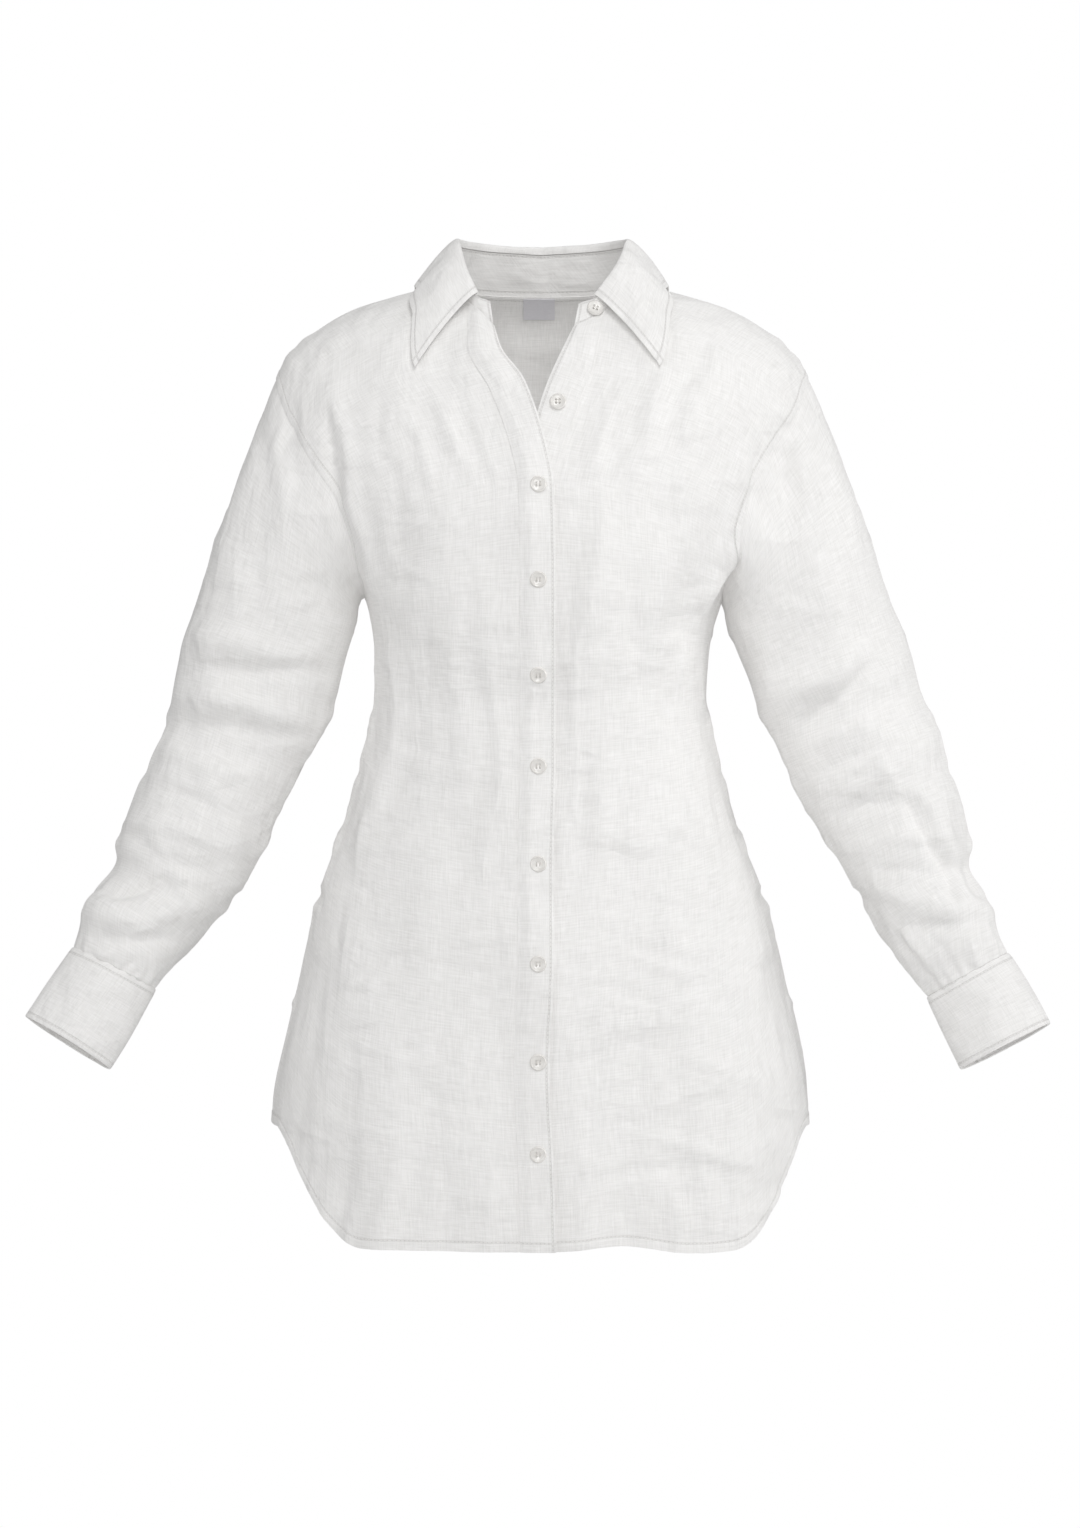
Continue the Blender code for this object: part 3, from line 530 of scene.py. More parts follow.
def side_places(turn):
    height = UNDERARM + (SIDE_SEAM_END - UNDERARM) * steps(SIDE_ROWS)
    return np.stack([np.full_like(height, turn), height], axis=1)


def front_places(side):
    """Turns and heights of a front, from the band's seam to the side."""
    top = even_places(shoulder_path(side), steps(SHOULDER_COLUMNS))
    height = band_seam_heights(side)
    seam_x = BAND_ROWS[side]("seam_x", height)
    seam = np.stack([turn_at(seam_x, height), height], axis=1)
    inner = np.concatenate([neckline_places(side), seam[1:]])
    armhole = even_places(armhole_path(side, "front_x"), steps(ARMHOLE_ROWS))
    outer = np.concatenate([armhole, side_places(90 * side)[1:]])
    turn = inner[-1, 0] + (outer[-1, 0] - inner[-1, 0]) * steps(SHOULDER_COLUMNS)
    bottom = np.stack([turn, hem_height(turn)], axis=1)
    return fill(top, bottom, inner, outer)


def back_neck_places():
    turn = 90 + 180 * steps(BACK_NECK_COLUMNS)
    return np.stack([turn, -BACK_NECK_DROP * np.sin(np.radians(turn - 90))], axis=1)


def back_places():
    """Turns and heights of the back, from the wearer's left side to the right one."""
    left = even_places(shoulder_path(LEFT), steps(SHOULDER_COLUMNS))[::-1]
    right = even_places(shoulder_path(LEFT), steps(SHOULDER_COLUMNS)) + (180, 0)
    top = np.concatenate([left, back_neck_places()[1:-1], right])
    armhole = even_places(armhole_path(LEFT, "back_x"), steps(ARMHOLE_ROWS))
    start = np.concatenate([armhole, side_places(90)[1:]])
    end = start * (-1, 1) + (360, 0)
    turn = 90 + 180 * steps(len(top) - 1)
    bottom = np.stack([turn, hem_height(turn)], axis=1)
    return fill(top, bottom, start, end)


def band_places(side):
    """Turns and heights of a button band: rows down, columns from its seam to its free edge."""
    seam_height = band_seam_heights(side)
    table = BAND_ROWS[side]
    share = steps(BAND_COLUMNS)[None, :]
    seam_x, edge_x = table("seam_x", seam_height)[:, None], table("edge_x", seam_height)[:, None]
    edge_height = table("edge_height", seam_height)[:, None]
    x = seam_x + (edge_x - seam_x) * share
    height = seam_height[:, None] + (edge_height - seam_height[:, None]) * share
    return np.stack([turn_at(x, height), height], axis=-1)


# ----------------------------------------------------------------------------------------------------------
# Creases: soft ridges (rise above 0) and troughs (below 0) between two places, read across and up the piece

# Across and height as seen from the front.
FRONT_CREASES = (
    # across, height, across, height, half width, rise
    (-158, -104, -146, -180, 7, 4.5),
    (-146, -180, -131, -250, 7, 6.0),
    (-168, -120, -156, -185, 6, -3.8),
    (162, -150, 150, -215, 7, 5.2),
    (150, -215, 129, -262, 7, 6.0),
    (172, -140, 160, -190, 6, -3.8),
    (97, -78, 76, -137, 5, 2.4),
    (121, -66, 95, -129, 6, -2.5),
    (134, -72, 108, -150, 5, 2.1),
    (60, -100, 33, -167, 5, 2.4),
    (76, -112, 52, -165, 4.5, -2.2),
    (144, -91, 121, -160, 6, 2.1),
    (38, -88, 27, -140, 3.5, -1.7),
    (88, -120, 70, -178, 4, 1.8),
    (110, -140, 96, -205, 6, -2.0),
    (45, -200, 37, -290, 8, 3.3),
    (27, -262, 23, -382, 6, 3.0),
    (19, -240, 18, -345, 4, -2.7),
    (66, -225, 74, -330, 9, -3.3),
    (88, -215, 92, -300, 8, 3.0),
    (52, -336, 45, -451, 7, 2.5),
    (33, -390, 31, -480, 5, -2.1),
    (114, -222, 120, -305, 9, -2.7),
    (60, -528, 121, -553, 3.6, 2.2),
    (83, -519, 138, -534, 3.3, 1.8),
    (45, -556, 92, -567, 3.6, -2.0),
    (100, -570, 150, -560, 4, 1.5),
    (75, -668, 182, -703, 4.5, 2.7),
    (50, -700, 128, -692, 5, -2.1),
    (46, -655, 96, -648, 4, 1.7),
    (114, -612, 170, -630, 4, 2.0),
    (28, -610, 60, -600, 4, -1.7),
    (32, -720, 30, -765, 8, 3.0),
    (62, -715, 64, -765, 7, -2.4),
    (100, -715, 104, -765, 9, 3.3),
    (138, -700, 142, -765, 7, -2.2),
    (-86, -95, -56, -160, 5, 2.4),
    (-66, -102, -34, -183, 4.5, -2.2),
    (-101, -118, -79, -185, 5.5, 2.0),
    (-46, -130, -30, -200, 4, 1.8),
    (-120, -140, -108, -215, 7, -2.4),
    (-124, -200, -112, -262, 8, 2.7),
    (-93, -232, -104, -315, 10, 3.0),
    (-62, -240, -52, -330, 8, -2.4),
    (-70, -300, -60, -413, 9, 2.5),
    (-40, -270, -34, -400, 6, 2.1),
    (-107, -330, -118, -440, 10, -2.4),
    (-48, -430, -56, -540, 9, 2.0),
    (-151, -556, -131, -556, 3.2, 1.8),
    (-132, -556, -111, -531, 3.4, 2.2),
    (-128, -524, -90, -528, 3.6, 1.8),
    (-60, -520, -26, -517, 3.4, 1.5),
    (-86, -536, -40, -545, 3.8, -1.5),
    (-150, -600, -96, -612, 4.5, 1.5),
    (-160, -660, -108, -676, 5, 1.8),
    (-92, -640, -40, -648, 4, -1.4),
    (-112, -690, -124, -765, 9, 3.3),
    (-70, -695, -73, -765, 8, -2.7),
    (-38, -690, -40, -765, 6, 2.2),
    (-150, -690, -160, -765, 7, -2.1),
    (-176, -640, -186, -700, 7, 2.4),
)
SLEEVE_CREASES = {
    RIGHT: (
        (-199, -80, -205, -108, 7, 3.0),
        (-205, -108, -203, -176, 8, 3.8),
        (-184, -110, -190, -170, 6, -3.0),
        (-236, -150, -257, -250, 12, 3.0),
        (-218, -190, -226, -260, 8, -2.2),
        (-276, -286, -190, -297, 9, 4.0),
        (-268, -309, -176, -312, 7, -3.8),
        (-284, -329, -198, -347, 8, 4.0),
        (-288, -353, -190, -362, 7, -4.2),
        (-300, -376, -222, -396, 8, 3.8),
        (-308, -402, -237, -425, 7, -4.0),
        (-321, -428, -251, -446, 8, 4.2),
        (-318, -448, -262, -474, 7, -4.2),
        (-343, -487, -298, -477, 5, -7.5),
        (-350, -505, -280, -498, 11, 6.2),
        (-352, -524, -288, -521, 6, -3.2),
        (-262, -400, -236, -450, 6, 2.5),
        (-300, -452, -270, -500, 6, 2.5),
        (-212, -262, -196, -330, 7, -2.5),
        (-338, -530, -352, -545, 3.5, 2.0),
        (-318, -538, -328, -556, 3.5, -1.9),
        (-302, -540, -312, -562, 3.5, 1.8),
    ),
    LEFT: (
        (203, -112, 213, -194, 8, 3.8),
        (188, -130, 196, -196, 6, -3.0),
        (226, -150, 258, -250, 11, 3.0),
        (240, -235, 272, -312, 9, -2.5),
        (203, -331, 250, -298, 8, 4.2),
        (206, -350, 229, -338, 5.5, -5.5),
        (229, -338, 260, -309, 5.5, -5.0),
        (214, -371, 266, -348, 6.5, 3.5),
        (219, -390, 282, -369, 5.5, -3.5),
        (243, -405, 276, -392, 4.5, 2.8),
        (231, -423, 287, -412, 5.5, -3.5),
        (262, -376, 276, -404, 4.5, 2.5),
        (290, -419, 314, -459, 5.5, -5.2),
        (314, -459, 325, -494, 5.5, -4.5),
        (301, -412, 331, -468, 6.5, 4.0),
        (258, -446, 309, -441, 6, 3.0),
        (262, -468, 300, -470, 5, -2.8),
        (266, -486, 326, -498, 7, 4.0),
        (335, -468, 354, -491, 5.5, -5.5),
        (292, -512, 346, -508, 6, -3.2),
        (280, -520, 294, -543, 3.2, -3.0),
        (294, -543, 311, -566, 3.0, -3.2),
        (287, -518, 304, -545, 3.6, 3.0),
        (334, -522, 342, -545, 3.5, 2.2),
        (318, -530, 326, -556, 3.5, -2.0),
        (348, -506, 356, -530, 4, 2.2),
    ),
}
BACK_CREASES = (
    (-150, -90, -138, -190, 8, 3.4),
    (150, -92, 140, -200, 8, 3.4),
    (-96, -70, -70, -180, 8, -2.3),
    (92, -64, 64, -170, 8, -2.3),
    (-40, -150, -24, -330, 11, 3.1),
    (46, -170, 30, -350, 11, 2.9),
    (6, -210, 2, -380, 8, -2.6),
    (-84, -240, -66, -400, 9, 2.9),
    (88, -250, 74, -410, 9, 2.6),
    (-112, -300, -122, -440, 8, -2.6),
    (110, -310, 124, -450, 8, -2.6),
    (-60, -430, -74, -600, 10, -2.6),
    (20, -440, 26, -620, 10, 2.9),
    (70, -470, 92, -640, 11, -2.9),
    (-130, -540, -60, -558, 4, 1.7),
    (48, -560, 132, -540, 4, 1.6),
    (-70, -352, 10, -340, 6, 2.1),
    (16, -366, 84, -352, 6, 2.0),
    (-150, -690, -158, -770, 8, 2.6),
    (-70, -680, -72, -770, 9, -2.6),
    (8, -670, 6, -770, 9, 2.6),
    (84, -680, 88, -770, 8, -2.6),
    (150, -690, 156, -770, 8, 2.6),
)
# Depth and height as seen from either side.
SIDE_CREASES = (
    (-40, -300, -10, -420, 9, 2.9),
    (20, -290, 0, -400, 8, -2.6),
    (-30, -440, -50, -600, 9, -2.3),
    (30, -430, 56, -600, 9, 2.6),
    (-12, -480, 2, -660, 8, 2.1),
    (-30, -352, 26, -340, 6, 2.1),
    (-26, -395, 30, -380, 6, -2.1),
    (-34, -455, 10, -442, 6, 2.3),
    (-44, -498, -6, -486, 6, -2.3),
)
CREASE_FADE = 0.35             # share of a crease's length over which it dies at each end
SMALL_CREASES = 300            # short crumples on each face, with the ranges of their sizes
SMALL_LENGTH = (8, 34)
SMALL_RISE = (0.5, 1.5)
SMALL_HALF_WIDTH = (2.4, 4.6)
WAVE_COUNT = 16


def crease_rise(table, across, height):
    """How far a table of creases lifts the cloth at these places."""
    total = np.zeros(across.shape)
    for x0, z0, x1, z1, half_width, rise in table:
        run, climb = x1 - x0, z1 - z0
        length = np.hypot(run, climb)
        along = ((across - x0) * run + (height - z0) * climb) / length
        beside = ((across - x0) * climb - (height - z0) * run) / length
        near = (np.abs(beside) < 3 * half_width) & (along > -0.4 * length) & (along < 1.4 * length)
        if not near.any():
            continue
        share = along[near] / length
        wobble = beside[near] + 0.3 * half_width * np.sin(share * 5 + x0)
        life = ramp(-CREASE_FADE, CREASE_FADE, share) * ramp(-CREASE_FADE, CREASE_FADE, 1 - share)
        total[near] += rise * life * np.exp(-(wobble / half_width) ** 2)
    return total


def small_creases(seed, reach):
    """Short fine crumples that linen keeps after it is pressed, scattered over one face."""
    draw = np.random.default_rng(seed)
    rows = []
    for _ in range(SMALL_CREASES):
        x, z = draw.uniform(-reach, reach), draw.uniform(-765, -40)
        lean = draw.normal(pi / 2, 0.75) if draw.random() < 0.55 else draw.normal(0, 0.4)
        length = draw.uniform(*SMALL_LENGTH)
        rise = draw.uniform(*SMALL_RISE) * (1 if draw.random() < 0.6 else -1)
        end_x, end_z = x + length * np.cos(lean), z + length * np.sin(lean)
        rows.append((x, z, end_x, end_z, draw.uniform(*SMALL_HALF_WIDTH), rise))
    return tuple(rows)


def waves(seed, shortest, longest, rise):
    """Random soft waves, as a list of directions, starts and heights."""
    draw = np.random.default_rng(seed)
    turn = draw.uniform(0, pi, WAVE_COUNT)
    length = draw.uniform(shortest, longest, WAVE_COUNT)
    lean = np.stack([np.cos(turn), draw.normal(0, 0.5, WAVE_COUNT), 0.6 * np.sin(turn)], axis=1)
    return lean * (2 * pi / length)[:, None], draw.uniform(0, 2 * pi, WAVE_COUNT), rise


LONG_WAVES = waves(3, 60, 150, 0.42)
SHORT_WAVES = waves(4, 18, 40, 0.07)
CRUMPLE_WAVES = waves(5, 60, 120, 0.22)


def wave_rise(points):
    """Gentle unevenness of cloth, with a net of thin crumple lines where the long waves are high."""
    total = np.zeros(points.shape[:-1])
    for lean, start, rise in (LONG_WAVES, SHORT_WAVES):
        for direction, phase in zip(lean, start):
            total = total + rise * np.sin(points @ direction + phase)
    lean, start, rise = CRUMPLE_WAVES
    for index in range(0, WAVE_COUNT, 2):
        bend = 1.6 * np.sin(points @ lean[index + 1] + start[index + 1])
        sharp = 1 - np.abs(np.sin(points @ lean[index] + start[index] + bend))
        patch = ramp(-0.1, 0.9, np.sin(points @ lean[(index + 5) % WAVE_COUNT] * 0.7 + index))
        total = total + rise * patch * sharp ** 5
    return total


FRONT_SMALL = small_creases(11, 380)
BACK_SMALL = small_creases(12, 380)
SIDE_SMALL = small_creases(13, 130)


def mirrored(table):
    return tuple((-x0, z0 - 6, -x1, z1 - 6, width, rise) for x0, z0, x1, z1, width, rise in table)


def crease_lift(points, out, front=FRONT_CREASES, back=BACK_CREASES):
    """How far all creases lift the cloth, given its plain points and its directions out."""
    facing_front = ramp(0.1, 0.5, -out[..., 1])
    facing_back = ramp(0.1, 0.5, out[..., 1])
    facing_side = 1 - facing_front - facing_back
    x, y, z = points[..., 0], points[..., 1], points[..., 2]
    total = wave_rise(points)
    total = total + facing_front * (crease_rise(front, x, z) + crease_rise(FRONT_SMALL, x, z))
    total = total + facing_back * (crease_rise(back, x, z) + crease_rise(BACK_SMALL, x, z))
    return total + facing_side * (crease_rise(SIDE_CREASES, y, z) + crease_rise(SIDE_SMALL, y, z))


def unit(vectors):
    return vectors / np.linalg.norm(vectors, axis=-1, keepdims=True)


def surface_normals(grid):
    """Unit directions out of a grid whose rows run down and whose columns run to greater turns."""
    return unit(np.cross(np.gradient(grid, axis=1), -np.gradient(grid, axis=0)))


def body(turn, height, lift=0.0):
    """Points of the body's outer face with every crease, moved out by lift."""
    turn, height = np.broadcast_arrays(np.asarray(turn, float), np.asarray(height, float))
    points, out = folded_body(turn, height), body_normal(turn, height)
    calm = ramp(-14, -60, height)
    rise = crease_lift(points, out) * calm + lift
    return points + out * rise[..., None]


# ----------------------------------------------------------------------------------------------------------
# Cloth pieces

FAR = 0.05                     # stands for no seam near
RIM_ANGLE = radians(55)        # a cut edge stays crisp while creases stay soft
RING_MERGE = 0.00002           # metres, within which a sleeve's first and last columns join
EDGES = {"top": (0, 0), "bottom": (0, -1), "start": (1, 0), "end": (1, -1)}


class Cloth:
    """A grid of cloth: its points and directions out, its place in the weave, its distance to seams."""

    def __init__(self, points, out=None, seams=(), plain=None, centred=False):
        """The weave is laid out on the plain points, so that creases don't bend its threads."""
        self.points = points
        self.out = surface_normals(points) if out is None else out
        plain = points if plain is None else plain
        flat_across = np.linalg.norm(np.diff(plain, axis=1), axis=2)
        flat_down = np.linalg.norm(np.diff(plain, axis=0), axis=2)
        u = np.concatenate([np.zeros((len(points), 1)), np.cumsum(flat_across, axis=1)], axis=1)
        if centred:
            u = u - u[:, -1:] / 2
        v = np.concatenate([[0], np.cumsum(flat_down.mean(axis=1))])
        v = np.broadcast_to(v[:, None], u.shape)
        across = np.linalg.norm(np.diff(points, axis=1), axis=2)
        down = np.linalg.norm(np.diff(points, axis=0), axis=2)
        self.across = np.concatenate([np.zeros((len(points), 1)), np.cumsum(across, axis=1)], axis=1)
        self.down = np.concatenate([np.zeros((1, points.shape[1])), np.cumsum(down, axis=0)])
        self.weave = np.stack([u, v], axis=-1) * MM
        beside = self.seam_distance(seams, "start", "end")
        below = self.seam_distance(seams, "top", "bottom")
        self.seam = np.stack([beside, below], axis=-1) * MM

    def edge_distance(self, edge):
        """Distance of every point from one edge, along the cloth."""
        axis, last = EDGES[edge]
        travelled = self.across if axis else self.down
        return travelled if last == 0 else travelled.take([-1], axis=axis) - travelled

    def seam_distance(self, seams, *edges):
        """Distance from the nearer stitched line along two facing edges, below 0 on its outer side."""
        nearest = np.full(self.points.shape[:2], FAR / MM)
        for edge, stitched in seams:
            if edge in edges:
                away = self.edge_distance(edge) - stitched
                nearest = np.where(np.abs(away) < np.abs(nearest), away, nearest)
        return nearest

    def flipped(self):
        """The same cloth with its columns in the other order."""
        self.points, self.out, self.weave, self.seam = (
            part[:, ::-1] for part in (self.points, self.out, self.weave, self.seam))
        return self

    def line(self, edge, distance):
        """Points, directions out, weave and seam places along an edge, this far in from it."""
        axis, _ = EDGES[edge]
        away = self.edge_distance(edge)
        parts = (self.points, self.out, self.weave, self.seam)
        if axis == 0:
            away, parts = away.T, [part.transpose(1, 0, 2) for part in parts]
        picked = []
        for part in parts:
            rows = []
            for row_away, row in zip(away, part):
                order = np.argsort(row_away)
                places = row_away[order]
                rows.append([np.interp(distance, places, row[order, k]) for k in range(row.shape[1])])
            picked.append(np.array(rows))
        return picked

    def turning(self, edge, width, lift):
        """The turned-under cloth of a hem or felled seam, as a low strip on the outer face."""
        ordered = [(self.line(edge, away), rise) for away, rise in strip_profile(width, lift)]
        if edge in ("bottom", "end"):
            ordered = ordered[::-1]
        strip = object.__new__(Cloth)
        strip.points = np.array([line[0] + line[1] * rise for line, rise in ordered])
        strip.out, strip.weave, strip.seam = (
            np.array([line[part] for line, _ in ordered]) for part in (1, 2, 3))
        if edge in ("start", "end"):
            strip.points, strip.out, strip.weave, strip.seam = (
                part.transpose(1, 0, 2) for part in (strip.points, strip.out, strip.weave, strip.seam))
        return strip


def strip_profile(width, lift):
    """Lines of a turned strip: how far in from the edge each lies, and how high over the cloth."""
    return (
        (0, lift),
        (0.8, lift * 1.15),
        (width / 2, lift * 1.1),
        (width - 0.5, lift * 1.15),
        (width + 0.3, -0.25),
    )


def mesh_from(shape, name):
    """The mesh of a bmesh, which is freed."""
    mesh = bpy.data.meshes.new(name)
    shape.to_mesh(mesh)
    shape.free()
    return mesh


def add_to_scene(name, content):
    made = bpy.data.objects.new(name, content)
    bpy.context.collection.objects.link(made)
    return made


def add_piece(name, mesh, finish, node=None):
    """A visible piece, which stands for a solid where it names one."""
    made = add_to_scene(name, mesh)
    mesh.materials.append(finish)
    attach(made, "root")
    if node:
        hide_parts(node)
    return made


def sew(name, node, grids, finish, wall, ring):
    """A closed piece of cloth from outer grids: rows run down, columns to the outer face's left."""
    shape = bmesh.new()
    start = 0
    for grid in grids:
        rows, columns = grid.points.shape[:2]
        bmesh.ops.create_grid(shape, x_segments=columns - 1, y_segments=rows - 1, size=1)
        shape.verts.ensure_lookup_table()
        for vertex, point in zip(shape.verts[start:], grid.points[::-1].reshape(-1, 3)):
            vertex.co = Vector(point) * MM
        start = len(shape.verts)
    mesh = mesh_from(shape, name)
    corner = np.empty(len(mesh.loops), int)
    mesh.loops.foreach_get("vertex_index", corner)
    for layer in ("weave", "seam"):
        values = np.concatenate([getattr(grid, layer)[::-1].reshape(-1, 2) for grid in grids])
        mesh.uv_layers.new(name=layer).data.foreach_set("uv", values[corner].astype(np.float32).ravel())
    if ring:
        shape = bmesh.new()
        shape.from_mesh(mesh)
        rims = [vertex for vertex in shape.verts if vertex.is_boundary]
        bmesh.ops.remove_doubles(shape, verts=rims, dist=RING_MERGE)
        shape.to_mesh(mesh)
        shape.free()
    made = add_piece(name, mesh, finish, node)
    thick = made.modifiers.new("wall", "SOLIDIFY")
    thick.thickness = wall
    thick.offset = -1
    walled = bpy.data.meshes.new_from_object(made.evaluated_get(bpy.context.evaluated_depsgraph_get()))
    made.modifiers.clear()
    made.data = walled
    bpy.data.meshes.remove(mesh)
    walled.name = name
    walled.shade_smooth()
    walled.set_sharp_from_angle(angle=RIM_ANGLE)
    return made


# ----------------------------------------------------------------------------------------------------------
# Finishes

def linear(code, alpha=1.0):
    """Linear colour from an sRGB hex value."""
    parts = [int(code[index:index + 2], 16) / 255 for index in (0, 2, 4)]
    return (*(part / 12.92 if part <= 0.04045 else ((part + 0.055) / 1.055) ** 2.4 for part in parts), alpha)


def add_node(tree, kind, sockets=(), **settings):
    """A node with its settings; sockets maps an input to a value or to the output that feeds it."""
    node = tree.nodes.new(kind)
    for name, value in settings.items():
        setattr(node, name, value)
    for socket, value in dict(sockets).items():
        if isinstance(value, bpy.types.NodeSocket):
            tree.links.new(value, node.inputs[socket])
        else:
            node.inputs[socket].default_value = value
    return node


MIX_A, MIX_B, MIX_OUT = 6, 7, 2   # the colour sockets of a Mix node


def new_finish(name, roughness, **sockets):
    finish = bpy.data.materials.new(name)
    finish.use_nodes = True
    shader = finish.node_tree.nodes["Principled BSDF"]
    shader.inputs["Roughness"].default_value = roughness
    for socket, value in sockets.items():
        shader.inputs[socket.replace("_", " ")].default_value = value
    return finish, finish.node_tree, shader


# Real linen of this weight has a thread about every 0.6 mm, which is finer than a picture of the whole shirt
# shows, so the slubs, the thick places in single threads, are drawn about 1.1 mm wide.
SLUBS_PER_METRE = 900
SLUB_LENGTHS_PER_METRE = 55
# Folds to the metre along each axis, and how much of the cloth stays free of them.
CRINKLES = (((70, 70, 16), 0.34), ((30, 30, 75), 0.42))
CRINKLE_RISE = 11              # in the bump's own depths
CLOTH_GLOW = 0.08              # stands for the studio's light that shines through the thin cloth
# Painted shade: the cloth is darkened towards this colour along each line of stitches, where it is drawn in.
GROOVE_SHADE_COLOUR = "BDBAB6"       # where a line of stitches draws the cloth in
STITCH_COLOUR = "F0EFED"


def crinkle(tree, where, stretch, kept):
    """Small soft folds that linen keeps after it is worn, and the patches of the cloth that have them."""
    drawn = add_node(tree, "ShaderNodeMapping", {"Vector": where, "Scale": stretch}).outputs["Vector"]
    fold = add_node(tree, "ShaderNodeTexNoise", {"Vector": drawn, "Scale": 1.0, "Detail": 2.0})
    spread = add_node(tree, "ShaderNodeTexNoise", {"Vector": drawn, "Scale": 0.37, "Detail": 1.0})
    patch = add_node(tree, "ShaderNodeMapRange", {"Value": spread.outputs["Fac"], "From Min": kept,
                                                  "From Max": kept + 0.2, "To Max": CRINKLE_RISE})
    return fold.outputs["Fac"], patch.outputs["Result"]


def linen(name):
    """Washed plain-weave linen: matt, slubbed both ways, crinkled, with dimpled lines of stitches and painted
    shade beside them.
    """
    colours = bpy.context.scene.shirt_colours
    light, shade = (*colours.linen_light, 1), (*colours.linen_shade, 1)
    finish, tree, shader = new_finish(name, 0.88, Sheen_Weight=0.08, Sheen_Roughness=0.5,
                                      Specular_IOR_Level=0.2, Emission_Color=light,
                                      Emission_Strength=CLOTH_GLOW)
    weave = add_node(tree, "ShaderNodeUVMap", uv_map="weave").outputs["UV"]
    seam = add_node(tree, "ShaderNodeUVMap", uv_map="seam").outputs["UV"]
    threads = []
    for scale in ((SLUBS_PER_METRE, SLUB_LENGTHS_PER_METRE, 1), (SLUB_LENGTHS_PER_METRE, SLUBS_PER_METRE, 1)):
        stretched = add_node(tree, "ShaderNodeMapping", {"Vector": weave, "Scale": scale}).outputs["Vector"]
        noise = add_node(tree, "ShaderNodeTexNoise", {"Vector": stretched, "Scale": 1.0, "Detail": 2.0,
                                                      "Roughness": 0.6}, noise_dimensions="2D")
        threads.append(noise.outputs["Fac"])
    both = add_node(tree, "ShaderNodeMath", {0: threads[0], 1: threads[1]}, operation="ADD").outputs[0]
    ranged = add_node(tree, "ShaderNodeMapRange", {"Value": both, "From Min": 0.55, "From Max": 1.45})
    slub = ranged.outputs["Result"]
    where = add_node(tree, "ShaderNodeTexCoord").outputs["Object"]
    cloud = add_node(tree, "ShaderNodeTexNoise", {"Vector": where, "Scale": 9.0, "Detail": 3.0})
    cloudy = add_node(tree, "ShaderNodeMapRange", {"Value": cloud.outputs["Fac"], "From Min": 0.3,
                                                   "From Max": 0.7, "To Min": -0.1, "To Max": 0.1})
    tone = add_node(tree, "ShaderNodeMath", {0: slub, 1: cloudy.outputs["Result"]}, operation="ADD",
                    use_clamp=True).outputs[0]
    colour = add_node(tree, "ShaderNodeMix", {0: tone, MIX_A: shade, MIX_B: light}, data_type="RGBA")
    parts = add_node(tree, "ShaderNodeSeparateXYZ", {"Vector": seam})
    run = add_node(tree, "ShaderNodeSeparateXYZ", {"Vector": weave})
    lines = []
    dashes = []
    for axis, along in (("X", "Y"), ("Y", "X")):
        near = add_node(tree, "ShaderNodeMath", {0: parts.outputs[axis]}, operation="ABSOLUTE").outputs[0]
        line = add_node(tree, "ShaderNodeMapRange", {"Value": near, "From Min": 0.0002, "From Max": 0.0011,
                                                     "To Min": 1.0, "To Max": 0.0},
                        interpolation_type="SMOOTHSTEP")
        thin = add_node(tree, "ShaderNodeMapRange", {"Value": near, "From Min": 0.0001, "From Max": 0.00045,
                                                     "To Min": 1.0, "To Max": 0.0})
        beat = add_node(tree, "ShaderNodeMath", {0: run.outputs[along], 1: 2 * pi / STITCH_LENGTH},
                        operation="MULTIPLY").outputs[0]
        wave = add_node(tree, "ShaderNodeMath", {0: beat}, operation="SINE").outputs[0]
        dash = add_node(tree, "ShaderNodeMapRange", {"Value": wave, "From Min": -0.7, "From Max": -0.3})
        lines.append(line.outputs["Result"])
        dashes.append(add_node(tree, "ShaderNodeMath",
                               {0: thin.outputs["Result"], 1: dash.outputs["Result"]},
                               operation="MULTIPLY").outputs[0])
    groove_dip_and_shade = add_node(tree, "ShaderNodeMath", {0: lines[0], 1: lines[1]}, operation="MAXIMUM").outputs[0]
    stitch = add_node(tree, "ShaderNodeMath", {0: dashes[0], 1: dashes[1]}, operation="MAXIMUM").outputs[0]
    # Painted shade: the cloth darkens towards the groove colour next to each line of stitches; the same mask
    # also dimples the bump.
    painted_groove_shade = add_node(tree, "ShaderNodeMath", {0: groove_dip_and_shade, 1: 0.35}, operation="MULTIPLY").outputs[0]
    groove_shaded_colour = add_node(tree, "ShaderNodeMix", {0: painted_groove_shade, MIX_A: colour.outputs[MIX_OUT],
                                              MIX_B: linear(GROOVE_SHADE_COLOUR)}, data_type="RGBA")
    sewn = add_node(tree, "ShaderNodeMix", {0: stitch, MIX_A: groove_shaded_colour.outputs[MIX_OUT],
                                            MIX_B: linear(STITCH_COLOUR)}, data_type="RGBA")
    tree.links.new(sewn.outputs[MIX_OUT], shader.inputs["Base Color"])
    dimple = add_node(tree, "ShaderNodeMath", {0: groove_dip_and_shade, 1: -1.6}, operation="MULTIPLY").outputs[0]
    raised = add_node(tree, "ShaderNodeMath", {0: stitch, 1: 1.2, 2: dimple},
                      operation="MULTIPLY_ADD").outputs[0]
    height = add_node(tree, "ShaderNodeMath", {0: slub, 1: 0.5, 2: raised},
                      operation="MULTIPLY_ADD").outputs[0]
    for stretch, kept in CRINKLES:
        fold, patch = crinkle(tree, where, stretch, kept)
        height = add_node(tree, "ShaderNodeMath", {0: fold, 1: patch, 2: height},
                          operation="MULTIPLY_ADD").outputs[0]
    bump = add_node(tree, "ShaderNodeBump", {"Height": height, "Strength": 0.7, "Distance": 0.0004})
    tree.links.new(bump.outputs["Normal"], shader.inputs["Normal"])
    return finish


